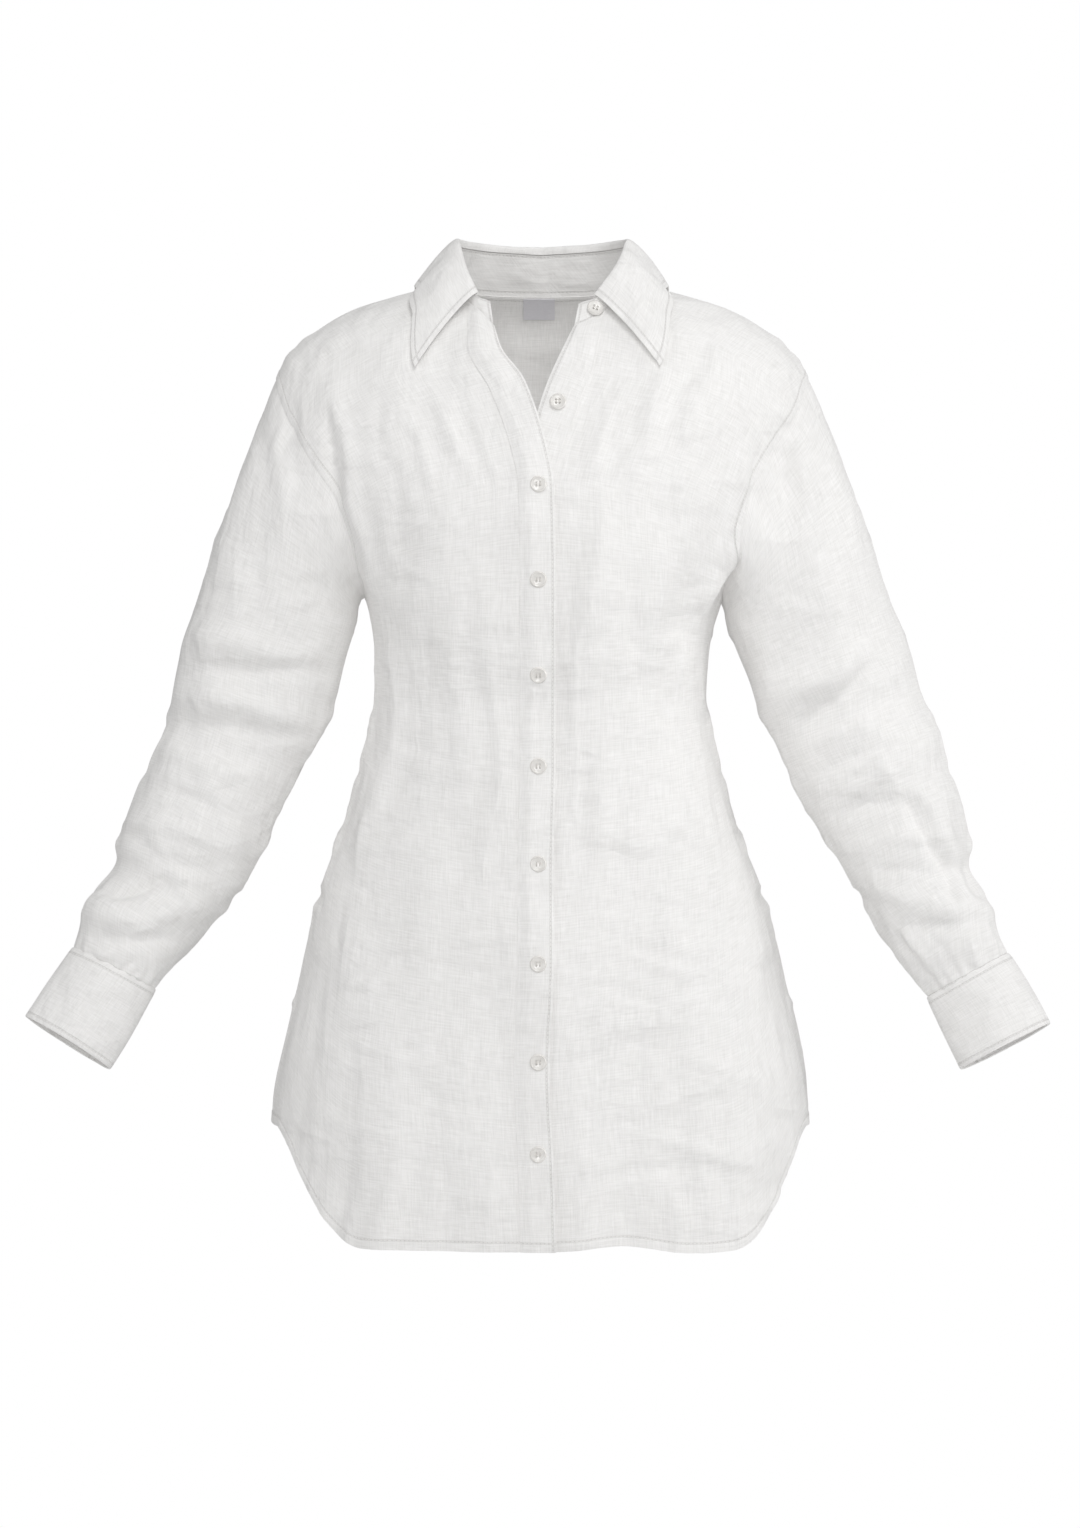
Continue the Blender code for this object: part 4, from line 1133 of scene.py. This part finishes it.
def pearly_plastic(name):
    """Cast polyester with a pearly lustre: glossy, near white, with a faint cloudiness."""
    finish, tree, shader = new_finish(name, 0.22, Coat_Weight=0.3, Coat_Roughness=0.12)
    where = add_node(tree, "ShaderNodeTexCoord").outputs["Object"]
    cloud = add_node(tree, "ShaderNodeTexNoise", {"Vector": where, "Scale": 160.0, "Detail": 2.0})
    colour = add_node(tree, "ShaderNodeMix", {0: cloud.outputs["Fac"], MIX_A: linear("DFDCD7"),
                                              MIX_B: linear("F2F0ED")}, data_type="RGBA")
    tree.links.new(colour.outputs[MIX_OUT], shader.inputs["Base Color"])
    return finish


def cotton_thread(name):
    """Spun polyester-cotton sewing thread: matt, with a fine twist."""
    finish, tree, shader = new_finish(name, 0.7, Sheen_Weight=0.2)
    where = add_node(tree, "ShaderNodeTexCoord").outputs["Object"]
    noise = add_node(tree, "ShaderNodeTexNoise", {"Vector": where, "Scale": 1400.0, "Detail": 1.0})
    twist = noise.outputs["Fac"]
    colour = add_node(tree, "ShaderNodeMix", {0: twist, MIX_A: linear("C4C0BA"), MIX_B: linear("E6E3DF")},
                      data_type="RGBA")
    tree.links.new(colour.outputs[MIX_OUT], shader.inputs["Base Color"])
    bump = add_node(tree, "ShaderNodeBump", {"Height": twist, "Strength": 0.5, "Distance": 0.0002})
    tree.links.new(bump.outputs["Normal"], shader.inputs["Normal"])
    return finish


def satin_tape(name):
    """Woven satin tape: smooth and a little shiny, with fine cross ribs."""
    finish, tree, shader = new_finish(name, 0.45, Sheen_Weight=0.2)
    weave = add_node(tree, "ShaderNodeUVMap", uv_map="weave").outputs["UV"]
    stretched = add_node(tree, "ShaderNodeMapping", {"Vector": weave, "Scale": (300, 1800, 1)})
    rib = add_node(tree, "ShaderNodeTexNoise", {"Vector": stretched.outputs["Vector"], "Scale": 1.0},
                   noise_dimensions="2D")
    colour = add_node(tree, "ShaderNodeMix", {0: rib.outputs["Fac"], MIX_A: linear("DDDCE2"),
                                              MIX_B: linear("EAE9ED")}, data_type="RGBA")
    tree.links.new(colour.outputs[MIX_OUT], shader.inputs["Base Color"])
    bump = add_node(tree, "ShaderNodeBump", {"Height": rib.outputs["Fac"], "Strength": 0.3,
                                             "Distance": 0.0002})
    tree.links.new(bump.outputs["Normal"], shader.inputs["Normal"])
    return finish


FINISHES = {
    "linen": ("washed_linen", linen),
    "button": ("cast_polyester_pearl", pearly_plastic),
    "thread": ("sewing_thread", cotton_thread),
    "label": ("woven_satin_tape", satin_tape),
}


def finish_of(kind):
    """The shared finish of this kind, made when it is first asked for."""
    name, make = FINISHES[kind]
    return bpy.data.materials.get(name) or make(name)


# ----------------------------------------------------------------------------------------------------------
# Shapes of the pieces

def body_cloth(places, seams, lift=0.0, centred=False):
    turn, height = places[..., 0], places[..., 1]
    plain = body_section(turn, height)
    return Cloth(body(turn, height, lift), body_normal(turn, height), seams, plain, centred)


def front_grids(side):
    """A front with its narrow hem and the seam allowance felled onto it round the armhole."""
    places = front_places(side)
    cloth = body_cloth(places, (("bottom", HEM_WIDTH - 1), ("top", 5)))
    grids = [cloth, cloth.turning("bottom", HEM_WIDTH, HEM_STRIP_LIFT), armhole_strip(cloth, "end")]
    return grids if side == LEFT else [grid.flipped() for grid in grids]


def armhole_strip(cloth, edge):
    """The felled allowance along the armhole, with its line of stitches."""
    upper = object.__new__(Cloth)
    rows = ARMHOLE_ROWS + 1
    for part in ("points", "out", "across", "down", "weave", "seam"):
        setattr(upper, part, getattr(cloth, part)[:rows])
    strip = upper.turning(edge, FELL_WIDTH, FELL_LIFT)
    away = np.array([line[0] for line in strip_profile(FELL_WIDTH, FELL_LIFT)])
    away = away if edge == "start" else away[::-1]
    strip.seam = strip.seam.copy()
    strip.seam[..., 0] = (away - FELL_WIDTH + FELL_STITCHES)[None, :] * MM
    return strip


def back_grids():
    places = back_places()
    cloth = body_cloth(places, (("bottom", HEM_WIDTH - 1), ("top", 5)), centred=True)
    hem = cloth.turning("bottom", HEM_WIDTH, HEM_STRIP_LIFT)
    return [cloth, hem, armhole_strip(cloth, "start"), armhole_strip(cloth, "end")]


def band_grid(side):
    """A folded band, flat at its seam and rolled at its free edge, which bulges on the upper one."""
    places = band_places(side)
    share = steps(BAND_COLUMNS)
    rounded = -0.4 * np.maximum(0, (share - 0.96) / 0.04) ** 2
    lift = SEAM_LIFT + (BAND_STANDS[side] - SEAM_LIFT) * ramp(0, 0.35, share) + rounded
    lift = np.broadcast_to(lift, places.shape[:2])
    ripple = 0.35 * np.sin(places[..., 1] / 19 + 0.4) + 0.3 * np.sin(places[..., 1] / 41)
    for height, reach, rise in BAND_BULGES:
        ripple = ripple + rise * np.exp(-((places[..., 1] - height) / reach) ** 2)
    lift = lift + (ripple * share ** 2 if side == RIGHT else 0)
    cloth = body_cloth(places, (("end", 2.4), ("bottom", 7)), lift)
    return cloth if side == LEFT else cloth.flipped()


def sleeve_frame(side, ring):
    """Centre of a ring, and its directions outwards and forwards."""
    table = SLEEVE[side]
    ring = np.asarray(ring, float)

    def centre(at):
        return np.stack([table("x", at), table("y", at), table("height", at)], axis=-1)

    along = unit(centre(np.minimum(ring + 0.5, LAST_RING)) - centre(np.maximum(ring - 0.5, 0)))
    forward = np.array((0.0, -1.0, 0.0))
    forward = unit(forward - along * (along @ forward)[..., None])
    outward = np.cross(along, forward) * -side
    return centre(ring), outward, forward, along


def sleeve_ring(side, ring, around):
    """Points round a sleeve: around is 0 at its outer edge, 90 at its front and 180 at its underarm seam."""
    centre, outward, forward, _ = sleeve_frame(side, ring)
    table = SLEEVE[side]
    rise = np.zeros_like(around, dtype=float)
    for fold_ring, fold_around, reach_rings, reach_around, height in SLEEVE_FOLDS[side]:
        away = ((around - fold_around + 180) % 360 - 180) / reach_around
        rise = rise + height * np.exp(-((ring - fold_ring) / reach_rings) ** 2 - away ** 2)
    wide = (table("half_width", ring) + rise) * np.cos(np.radians(around))
    deep = (table("half_depth", ring) + rise) * np.sin(np.radians(around))
    return centre + outward * wide[..., None] + forward * deep[..., None]


def armhole_points(side, around):
    """Points of the armhole seam that the sleeve's rings start from."""
    around = np.asarray(around, float)
    front = even_places(armhole_path(side, "front_x"), around / 180)
    back = even_places(armhole_path(side, "back_x"), (360 - around) / 180)
    places = np.where((around <= 180)[:, None], front, back)
    return body(places[:, 0], places[:, 1], -SLEEVE_TUCK)


def sleeve_points(side, around):
    """Plain points of a sleeve, whose cap swings from the armhole to the first of its rings."""
    seam = armhole_points(side, around % 360)
    first = sleeve_ring(side, 0.0, around)
    chord = first - seam
    length = np.linalg.norm(chord, axis=1, keepdims=True)
    spread = CAP_SPREAD[0] + CAP_SPREAD[1] * np.sin(np.radians(around / 2)) ** 2
    leave = unit(unit(chord) + np.array((side, 0, 0)) * spread[:, None])
    arrive = sleeve_frame(side, 0.0)[3]
    rows = []
    for share in steps(CAP_ROWS)[:-1]:
        ahead = share * share * (3 - 2 * share)
        swing = share * (1 - share) ** 2 * length * leave + share * share * (share - 1) * length * arrive
        rows.append(seam * (1 - ahead) + first * ahead + swing)
    rows[0] = seam - leave * 1.5
    for ring in LAST_RING * steps(SLEEVE_ROWS):
        rows.append(sleeve_ring(side, ring, around))
    return np.array(rows)


def sleeve_cloth(side):
    """A sleeve with its creases, which die away at both its seams."""
    around = 180 + 360 * steps(SLEEVE_COLUMNS)
    points = sleeve_points(side, around)
    out = surface_normals(points) * side * -1
    front = SLEEVE_CREASES[side]
    rise = crease_lift(points, out, front, mirrored(SLEEVE_CREASES[-side]))
    row = np.arange(len(points))
    calm = ramp(0, 8, row) * ramp(0, 5, len(points) - 1 - row)
    gathers = np.sin(np.radians(around) * 17 + 2 * np.sin(np.radians(around) * 3)) * 0.9
    near_cuff = np.exp(-((len(points) - 1 - row) / 9) ** 2) * ramp(-1, 3, len(points) - 1 - row)
    creased = points + out * (rise * calm[:, None] + gathers[None, :] * near_cuff[:, None])[..., None]
    creased[:, -1] = creased[:, 0]
    cloth = Cloth(creased, out, (("start", 6), ("bottom", 2)), points, True)
    return cloth if side == RIGHT else cloth.flipped()


def cuff_points(side, turn, along, lift=0.0):
    """Points of a cuff: along is 0 at its seam and 1 at its end, and turn runs on past 360 at its lap."""
    start, seam_outward, seam_forward, _ = sleeve_frame(side, float(LAST_RING))
    end = np.array(CUFF_END[side])
    axis = unit(end - start)
    end_forward = unit(seam_forward - axis * (seam_forward @ axis))
    end_outward = np.cross(axis, end_forward) * -side
    forward = unit(seam_forward + (end_forward - seam_forward) * along[..., None])
    outward = unit(seam_outward + (end_outward - seam_outward) * along[..., None])
    lapped = turn - CUFF_LAP_START - 360
    over = ramp(*CUFF_LAP_RISE, lapped) * (CUFF_WALL + LAP_GAP) + lift
    wide = CUFF_HALF_WIDTH[0] + (CUFF_HALF_WIDTH[1] - CUFF_HALF_WIDTH[0]) * along + over
    deep = CUFF_HALF_DEPTH[0] + (CUFF_HALF_DEPTH[1] - CUFF_HALF_DEPTH[0]) * along + over
    centre = start + axis * CUFF_SEAM_GAP + (end - start) * along[..., None]
    return (centre + outward * (wide * np.cos(np.radians(turn)))[..., None]
            + forward * (deep * np.sin(np.radians(turn)))[..., None])


def cuff_cloth(side):
    turn = CUFF_LAP_START + (360 + CUFF_OVERLAP) * steps(CUFF_COLUMNS)
    along = np.concatenate([(-0.045, -0.03), steps(CUFF_ROWS)[1:-1], (0.985, 1.0)])
    turn, along = np.meshgrid(turn, along)
    edge = 0.6 * np.clip((along - 0.975) / 0.025, 0, 1) ** 2 + 0.7 * np.clip((0.0 - along) / 0.045, 0, 1) ** 2
    bow = 0.9 * np.sin(np.radians(turn) * 2 + 1) * np.sin(pi * along) + 0.5 * np.sin(np.radians(turn) * 5)
    points = cuff_points(side, turn, along, 0.8 + bow * 0.7 - edge)
    points = points + surface_normals(points) * (-side * 0.6 * wave_rise(points))[..., None]
    cloth = Cloth(points, None, (("top", 5), ("bottom", 4), ("start", 4), ("end", 4)))
    return cloth if side == RIGHT else cloth.flipped()


def neck_places():
    """Turns, heights and collar shares round the neck seam, from the wearer's left end to the right one."""
    halves = {}
    for side in (LEFT, RIGHT):
        table = BAND_ROWS[side]
        top = table.data["seam_height"].max()
        x = np.interp(steps(BAND_COLUMNS), (0, 1), (table("edge_x", top), table("seam_x", top)))
        height = np.interp(steps(BAND_COLUMNS), (0, 1), (table("edge_height", top), top))
        band = np.stack([turn_at(x, height), height], axis=1)
        halves[side] = np.concatenate([band, neckline_places(side)[::-1][1:]])
    left = halves[LEFT]
    right = halves[RIGHT][::-1] + (360, 0)
    places = np.concatenate([left, back_neck_places()[1:-1], right])
    points = body_section(places[:, 0], places[:, 1])
    travelled = np.concatenate([[0], np.cumsum(np.linalg.norm(np.diff(points, axis=0), axis=1))])
    middle = len(left) - 1 + BACK_NECK_COLUMNS // 2
    index = np.arange(len(places))
    share = np.where(index <= middle, travelled / travelled[middle],
                     (travelled[-1] - travelled) / (travelled[-1] - travelled[middle]))
    return places, share, np.where(index <= middle, LEFT, RIGHT)


def by_side(tables, name, share, sides):
    return np.where(sides == LEFT, tables[LEFT](name, share), tables[RIGHT](name, share))


def stand_lines():
    """The stand's lower and upper edges, with the direction out of the neck at each column."""
    places, share, sides = neck_places()
    base = folded_body(places[:, 0], places[:, 1])
    top = np.stack([by_side(STAND_TOP, "x", share, sides) * sides, by_side(STAND_TOP, "y", share, sides),
                    by_side(STAND_TOP, "height", share, sides)], axis=1)
    top[:, 0] -= sides * STAND_END_REACH * ramp(-COLLAR_START, 0, -share)
    east = np.gradient(base, axis=0)
    for _ in range(6):
        east[1:-1] = (east[:-2] + 2 * east[1:-1] + east[2:]) / 4
    out = unit(np.cross(east, top - base))
    return base, top, out, share, sides


def stand_cloth():
    base, top, out, _, _ = stand_lines()
    share = steps(STAND_ROWS)[::-1, None, None]
    points = base[None] * (1 - share) + top[None] * share + out[None] * (1 - share) * 0.8
    points = points - unit(top - base)[None] * STAND_TUCK * (1 - share)
    return Cloth(points, None, (("top", 1.5), ("bottom", 3.2 + STAND_TUCK), ("start", 3), ("end", 3)))


def collar_cloth():
    """The collar from the stand's top, up and over its roll and down to its outer edge."""
    _, top, out, share, sides = stand_lines()
    climb = unit(np.cross(out, np.gradient(top, axis=0)))
    begin = top - out * COLLAR_WALL + climb * COLLAR_CLEARANCE
    count = COLLAR_COLUMNS // 2
    spread = steps(count)
    halves = []
    for side in (LEFT, RIGHT):
        there = (sides == side) | (share == 1)
        order = np.argsort(share[there])
        first = COLLAR_START + (1 - COLLAR_START) * spread
        known = share[there][order]
        half = [np.stack([np.interp(first, known, line[there][order, k]) for k in range(3)], axis=1)
                for line in (begin, out, climb)]
        half.append(spread)
        halves.append(half if side == LEFT else [part[::-1][1:] for part in half])
    begin, out, climb, share = (np.concatenate([left, right]) for left, right in zip(*halves))
    sides = np.where(np.arange(len(share)) <= count, LEFT, RIGHT)
    turn = by_side(COLLAR_EDGE, "turn", share, sides) * sides
    height = by_side(COLLAR_EDGE, "height", share, sides)
    lift = by_side(COLLAR_EDGE, "lift", share, sides)
    end = folded_body(turn, height) + body_normal(turn, height) * lift[:, None]
    roll = COLLAR_ROLL("rise", share)[:, None]
    full = COLLAR_ROLL("fullness", share)[:, None]
    up = np.array((0.0, 0.0, 1.0))
    first = begin + unit(2 * climb + up) * roll
    second = end + (begin - end) * 0.5 + out * full + up * full
    rows = []
    for at in steps(COLLAR_ROWS):
        rows.append(begin * (1 - at) ** 3 + first * 3 * at * (1 - at) ** 2
                    + second * 3 * at * at * (1 - at) + end * at ** 3)
    points = np.array(rows)
    normals = surface_normals(points)
    return Cloth(points + normals * (0.5 * wave_rise(points))[..., None], normals,
                 (("bottom", 5.5), ("start", 5.5), ("end", 5.5)))


def label_cloth():
    """A bare tab that lies inside the back, just under the neck seam."""
    across, height = LABEL_CENTRE
    width, drop = LABEL_SIZE
    x, heights = np.meshgrid(across + width * (steps(12) - 0.5), height + drop * (0.5 - steps(8)))
    turn = 180 - turn_at(x, heights)
    lift = -WALL - LABEL_LIFT - 0.4 * np.sin(pi * (heights - height + drop / 2) / drop)
    return Cloth(folded_body(turn, heights) + body_normal(turn, heights) * lift[..., None],
                 seams=(("top", 2),)).flipped()


# ----------------------------------------------------------------------------------------------------------
# Buttons

def button_shape():
    """A dished and rimmed disc with four thread holes, its back on the XY plane."""
    shape = bmesh.new()
    line = [shape.verts.new((across * BUTTON_RADIUS, 0, up * BUTTON_THICKNESS))
            for across, up in BUTTON_PROFILE]
    edges = [shape.edges.new(pair) for pair in zip(line, line[1:])]
    bmesh.ops.spin(shape, geom=line + edges, axis=(0, 0, 1), cent=(0, 0, 0), angle=2 * pi, steps=BUTTON_SIDES,
                   use_merge=True)
    bmesh.ops.remove_doubles(shape, verts=shape.verts, dist=0.001)
    bmesh.ops.recalc_face_normals(shape, faces=shape.faces)
    blank = add_to_scene("button_blank", mesh_from(shape, "button_blank"))
    holes = bmesh.new()
    for across in (-1, 1):
        for along in (-1, 1):
            place = Matrix.Translation((across * BUTTON_HOLE_SPREAD, along * BUTTON_HOLE_SPREAD, 0))
            bmesh.ops.create_cone(holes, cap_ends=True, segments=10, radius1=BUTTON_HOLE_RADIUS,
                                  radius2=BUTTON_HOLE_RADIUS, depth=3 * BUTTON_THICKNESS, matrix=place)
    cutter = add_to_scene("button_holes", mesh_from(holes, "button_holes"))
    cut = blank.modifiers.new("holes", "BOOLEAN")
    cut.object = cutter
    cut.solver = "EXACT"
    drilled = bpy.data.meshes.new_from_object(blank.evaluated_get(bpy.context.evaluated_depsgraph_get()))
    for made in (blank, cutter):
        bpy.data.objects.remove(made)
    return drilled


def thread_shape():
    """Two short bars of thread through the holes of a button, and its wound shank below."""
    shape = bmesh.new()
    for across in (-1, 1):
        place = (Matrix.Translation((across * BUTTON_HOLE_SPREAD, 0, BUTTON_THICKNESS * 0.79))
                 @ Matrix.Diagonal((0.55, BUTTON_HOLE_SPREAD + 0.5, 0.4, 1)))
        bmesh.ops.create_icosphere(shape, subdivisions=2, radius=1, matrix=place)
    bmesh.ops.create_cone(shape, cap_ends=True, segments=12, radius1=1.9, radius2=1.6, depth=1.6,
                          matrix=Matrix.Translation((0, 0, -0.3)))
    return mesh_from(shape, "button_thread")


def frame_at(point, out, up=(0, 0, 1)):
    """Where a button's own frame lies: its back at a point, facing out, its holes in line with up."""
    out = Vector(out).normalized()
    side = Vector(up).cross(out).normalized()
    turned = Matrix((side, out.cross(side), out)).transposed().to_4x4()
    return Matrix.Scale(MM, 4) @ Matrix.Translation(Vector(point)) @ turned


def add_button(name, place, drilled, thread):
    """One button and the thread that holds it, as two pieces."""
    disc, sewn = drilled.copy(), thread.copy()
    disc.name = name
    for mesh in (disc, sewn):
        mesh.transform(place)
        mesh.shade_smooth()
    disc.set_sharp_from_angle(angle=BUTTON_EDGE_ANGLE)
    add_piece(name + "_disc", disc, finish_of("button"), name)
    add_piece(name + "_thread", sewn, finish_of("thread"))


def button_frames():
    """Where each button sits, by the name of its solid."""
    frames = {}
    for number, height in enumerate(BUTTON_HEIGHTS, 1):
        turn = turn_at(BUTTON_X, height)
        point = body(turn, height, BUTTON_STANDS["band"])
        frames[f"button_{number}"] = frame_at(point, body_normal(turn, height))
    across, height = OPEN_BUTTON
    turn = turn_at(across, height)
    frames["button_open"] = frame_at(body(turn, height, BUTTON_STANDS["open"]), body_normal(turn, height))
    base, top, out, share, _ = stand_lines()
    along, up = STAND_BUTTON
    half = len(share) // 2
    lower, upper, face = (np.array([np.interp(along, share[:half], line[:half, axis]) for axis in range(3)])
                          for line in (base, top, out))
    point = lower + (upper - lower) * up + unit(face) * BUTTON_STANDS["stand"]
    frames["button_stand"] = frame_at(point, face, upper - lower)
    for side in (RIGHT, LEFT):
        turn, middle = np.array(CUFF_BUTTON_TURN + 360.0), np.array(0.5)
        point = cuff_points(side, turn, middle, BUTTON_STANDS["cuff"])
        out = cuff_points(side, turn, middle, 10.0) - point
        along = cuff_points(side, turn, np.array(0.0)) - cuff_points(side, turn, np.array(1.0))
        frames["button_cuff_" + SIDE_NAME[side]] = frame_at(point + unit(out) * 1.0, out, along)
    return frames


# ----------------------------------------------------------------------------------------------------------
# Settings and operators

def colour_property(name, description, code):
    return bpy.props.FloatVectorProperty(name=name, description=description, subtype="COLOR", size=3,
                                         min=0, max=1, default=linear(code)[:3])


class ShirtSizes(bpy.types.PropertyGroup):
    wall: bpy.props.FloatProperty(name="Cloth wall", default=0.001, unit="LENGTH",
                                  description="Thickness of one panel with its allowances")
    cuff_wall: bpy.props.FloatProperty(name="Cuff wall", default=0.0014, unit="LENGTH",
                                       description="Thickness of a cuff with its interlining")


class ShirtColours(bpy.types.PropertyGroup):
    linen_light: colour_property("Linen, light", "Colour of the cloth between its slubs", "F2F1F0")
    linen_shade: colour_property("Linen, shade", "Colour of the slubs and the gaps between threads", "E0DFDD")


def sew_piece(context, node, grids, ring=False, wall=None, kind="linen"):
    """Sews the cloth of one solid."""
    wall = context.scene.shirt_sizes.wall if wall is None else wall
    piece = sew(node + "_cloth", node, grids, finish_of(kind), wall, ring)
    return piece


class SHIRT_OT_fronts(bpy.types.Operator):
    """Sew the two fronts, with their hems and felled armholes"""
    bl_idname = "shirt.fronts"
    bl_label = "Fronts"

    def execute(self, context):
        for side in (RIGHT, LEFT):
            sew_piece(context, "front_" + SIDE_NAME[side], front_grids(side))
        return {"FINISHED"}


class SHIRT_OT_back(bpy.types.Operator):
    """Sew the back"""
    bl_idname = "shirt.back"
    bl_label = "Back"

    def execute(self, context):
        sew_piece(context, "back", back_grids())
        return {"FINISHED"}


class SHIRT_OT_bands(bpy.types.Operator):
    """Sew the two folded button bands"""
    bl_idname = "shirt.bands"
    bl_label = "Button bands"

    def execute(self, context):
        for side in (RIGHT, LEFT):
            sew_piece(context, "band_" + SIDE_NAME[side], [band_grid(side)])
        return {"FINISHED"}


class SHIRT_OT_sleeves(bpy.types.Operator):
    """Sew the two sleeves, with the creases of the bent arm"""
    bl_idname = "shirt.sleeves"
    bl_label = "Sleeves"

    def execute(self, context):
        for side in (RIGHT, LEFT):
            sew_piece(context, "sleeve_" + SIDE_NAME[side], [sleeve_cloth(side)], ring=True)
        return {"FINISHED"}


class SHIRT_OT_cuffs(bpy.types.Operator):
    """Sew the two lapped cuffs"""
    bl_idname = "shirt.cuffs"
    bl_label = "Cuffs"

    def execute(self, context):
        wall = context.scene.shirt_sizes.cuff_wall
        for side in (RIGHT, LEFT):
            sew_piece(context, "cuff_" + SIDE_NAME[side], [cuff_cloth(side)], wall=wall)
        return {"FINISHED"}


class SHIRT_OT_collar(bpy.types.Operator):
    """Sew the collar stand and the turned-down collar"""
    bl_idname = "shirt.collar"
    bl_label = "Collar"

    def execute(self, context):
        sew_piece(context, "collar_stand", [stand_cloth()])
        sew_piece(context, "collar", [collar_cloth()])
        return {"FINISHED"}


class SHIRT_OT_label(bpy.types.Operator):
    """Set the bare label inside the back neck"""
    bl_idname = "shirt.label"
    bl_label = "Neck label"

    def execute(self, context):
        sew_piece(context, "label", [label_cloth()], wall=LABEL_THICKNESS, kind="label")
        return {"FINISHED"}


class SHIRT_OT_buttons(bpy.types.Operator):
    """Sew on the four-hole buttons with their threads"""
    bl_idname = "shirt.buttons"
    bl_label = "Buttons"

    def execute(self, context):
        drilled, thread = button_shape(), thread_shape()
        for name, place in button_frames().items():
            add_button(name, place, drilled, thread)
        return {"FINISHED"}


class SHIRT_OT_buttonholes(bpy.types.Operator):
    """Work the satin stitches of the upper band's buttonholes"""
    bl_idname = "shirt.buttonholes"
    bl_label = "Buttonholes"

    def execute(self, context):
        shape = bmesh.new()
        for x, height in [(BUTTON_X, height) for height in BUTTON_HEIGHTS] + [OPEN_HOLE]:
            for beside in (-1, 1):
                for rung in range(HOLE_STITCHES):
                    z = height + HOLE_LENGTH * (rung / (HOLE_STITCHES - 1) - 0.5)
                    end = abs(2 * rung / (HOLE_STITCHES - 1) - 1) > 0.9
                    turn = turn_at(x + beside * (0.5 if end else 0.85), z)
                    out = Vector(body_normal(turn, z))
                    place = frame_at(body(turn, z, BAND_LIFT + 0.75), out)
                    bmesh.ops.create_icosphere(shape, subdivisions=1, radius=1,
                                               matrix=place @ Matrix.Diagonal((0.75, 0.42, 0.3, 1)))
        mesh = mesh_from(shape, "buttonhole_stitches")
        mesh.shade_smooth()
        add_piece("buttonhole_stitches", mesh, finish_of("thread"))
        return {"FINISHED"}


class SHIRT_OT_stage(bpy.types.Operator):
    """Set the pale floor, the soft lights and the camera"""
    bl_idname = "shirt.stage"
    bl_label = "Stage"

    def execute(self, context):
        scene = context.scene
        scene.view_settings.view_transform = "Standard"
        shape = bmesh.new()
        bmesh.ops.create_grid(shape, x_segments=1, y_segments=1, size=FLOOR_REACH,
                              matrix=Matrix.Translation((0, 0, FLOOR_HEIGHT)))
        floor = add_to_scene("floor", mesh_from(shape, "floor"))
        finish, _, _ = new_finish("white_paper_floor", 0.9, Specular_IOR_Level=0.1,
                                  Base_Color=linear("FAFAFA"))
        floor.data.materials.append(finish)
        world = bpy.data.worlds.new("studio")
        world.use_nodes = True
        scene.world = world
        tree = world.node_tree
        ground = tree.nodes["Background"]
        ground.inputs["Color"].default_value = linear("FFFFFF")
        ground.inputs["Strength"].default_value = WORLD_LIGHT
        seen = add_node(tree, "ShaderNodeBackground", {"Color": linear("FFFFFF"), "Strength": 1.0})
        path = add_node(tree, "ShaderNodeLightPath")
        mix = add_node(tree, "ShaderNodeMixShader", {0: path.outputs["Is Camera Ray"],
                                                     1: ground.outputs["Background"],
                                                     2: seen.outputs["Background"]})
        tree.links.new(mix.outputs["Shader"], tree.nodes["World Output"].inputs["Surface"])
        for name, place, size, power in SOFT_LIGHTS:
            light = bpy.data.lights.new(name, "AREA")
            light.shape = "DISK"
            light.size = size
            light.energy = power
            lamp = add_to_scene(name, light)
            lamp.location = place
            lamp.rotation_euler = (Vector(LIGHT_AIM) - Vector(place)).to_track_quat("-Z", "Y").to_euler()
        camera = bpy.data.cameras.new("camera")
        camera.lens = CAMERA_LENS
        eye = add_to_scene("camera", camera)
        eye.location = CAMERA_PLACE
        eye.rotation_euler = (pi / 2, 0, 0)
        scene.camera = eye
        return {"FINISHED"}


OPERATORS = (SHIRT_OT_stage, SHIRT_OT_back, SHIRT_OT_fronts, SHIRT_OT_bands, SHIRT_OT_sleeves, SHIRT_OT_cuffs,
             SHIRT_OT_collar, SHIRT_OT_label, SHIRT_OT_buttons, SHIRT_OT_buttonholes)


class SHIRT_PT_panel(bpy.types.Panel):
    """The shirt's pieces, sizes and colours"""
    bl_idname = "SHIRT_PT_panel"
    bl_label = "Shirt"
    bl_space_type = "VIEW_3D"
    bl_region_type = "UI"
    bl_category = "Shirt"

    def draw(self, context):
        for group in (context.scene.shirt_sizes, context.scene.shirt_colours):
            for name in group.__annotations__:
                self.layout.prop(group, name)
        for operator in OPERATORS:
            self.layout.operator(operator.bl_idname)


CLASSES = (ShirtSizes, ShirtColours, *OPERATORS, SHIRT_PT_panel)


def register():
    for part in CLASSES:
        bpy.utils.register_class(part)
    bpy.types.Scene.shirt_sizes = bpy.props.PointerProperty(type=ShirtSizes)
    bpy.types.Scene.shirt_colours = bpy.props.PointerProperty(type=ShirtColours)


def unregister():
    del bpy.types.Scene.shirt_colours
    del bpy.types.Scene.shirt_sizes
    for part in reversed(CLASSES):
        bpy.utils.unregister_class(part)


def main():
    register()
    for operator in OPERATORS:
        group, name = operator.bl_idname.split(".")
        getattr(getattr(bpy.ops, group), name)()


if __name__ == "__main__":
    main()
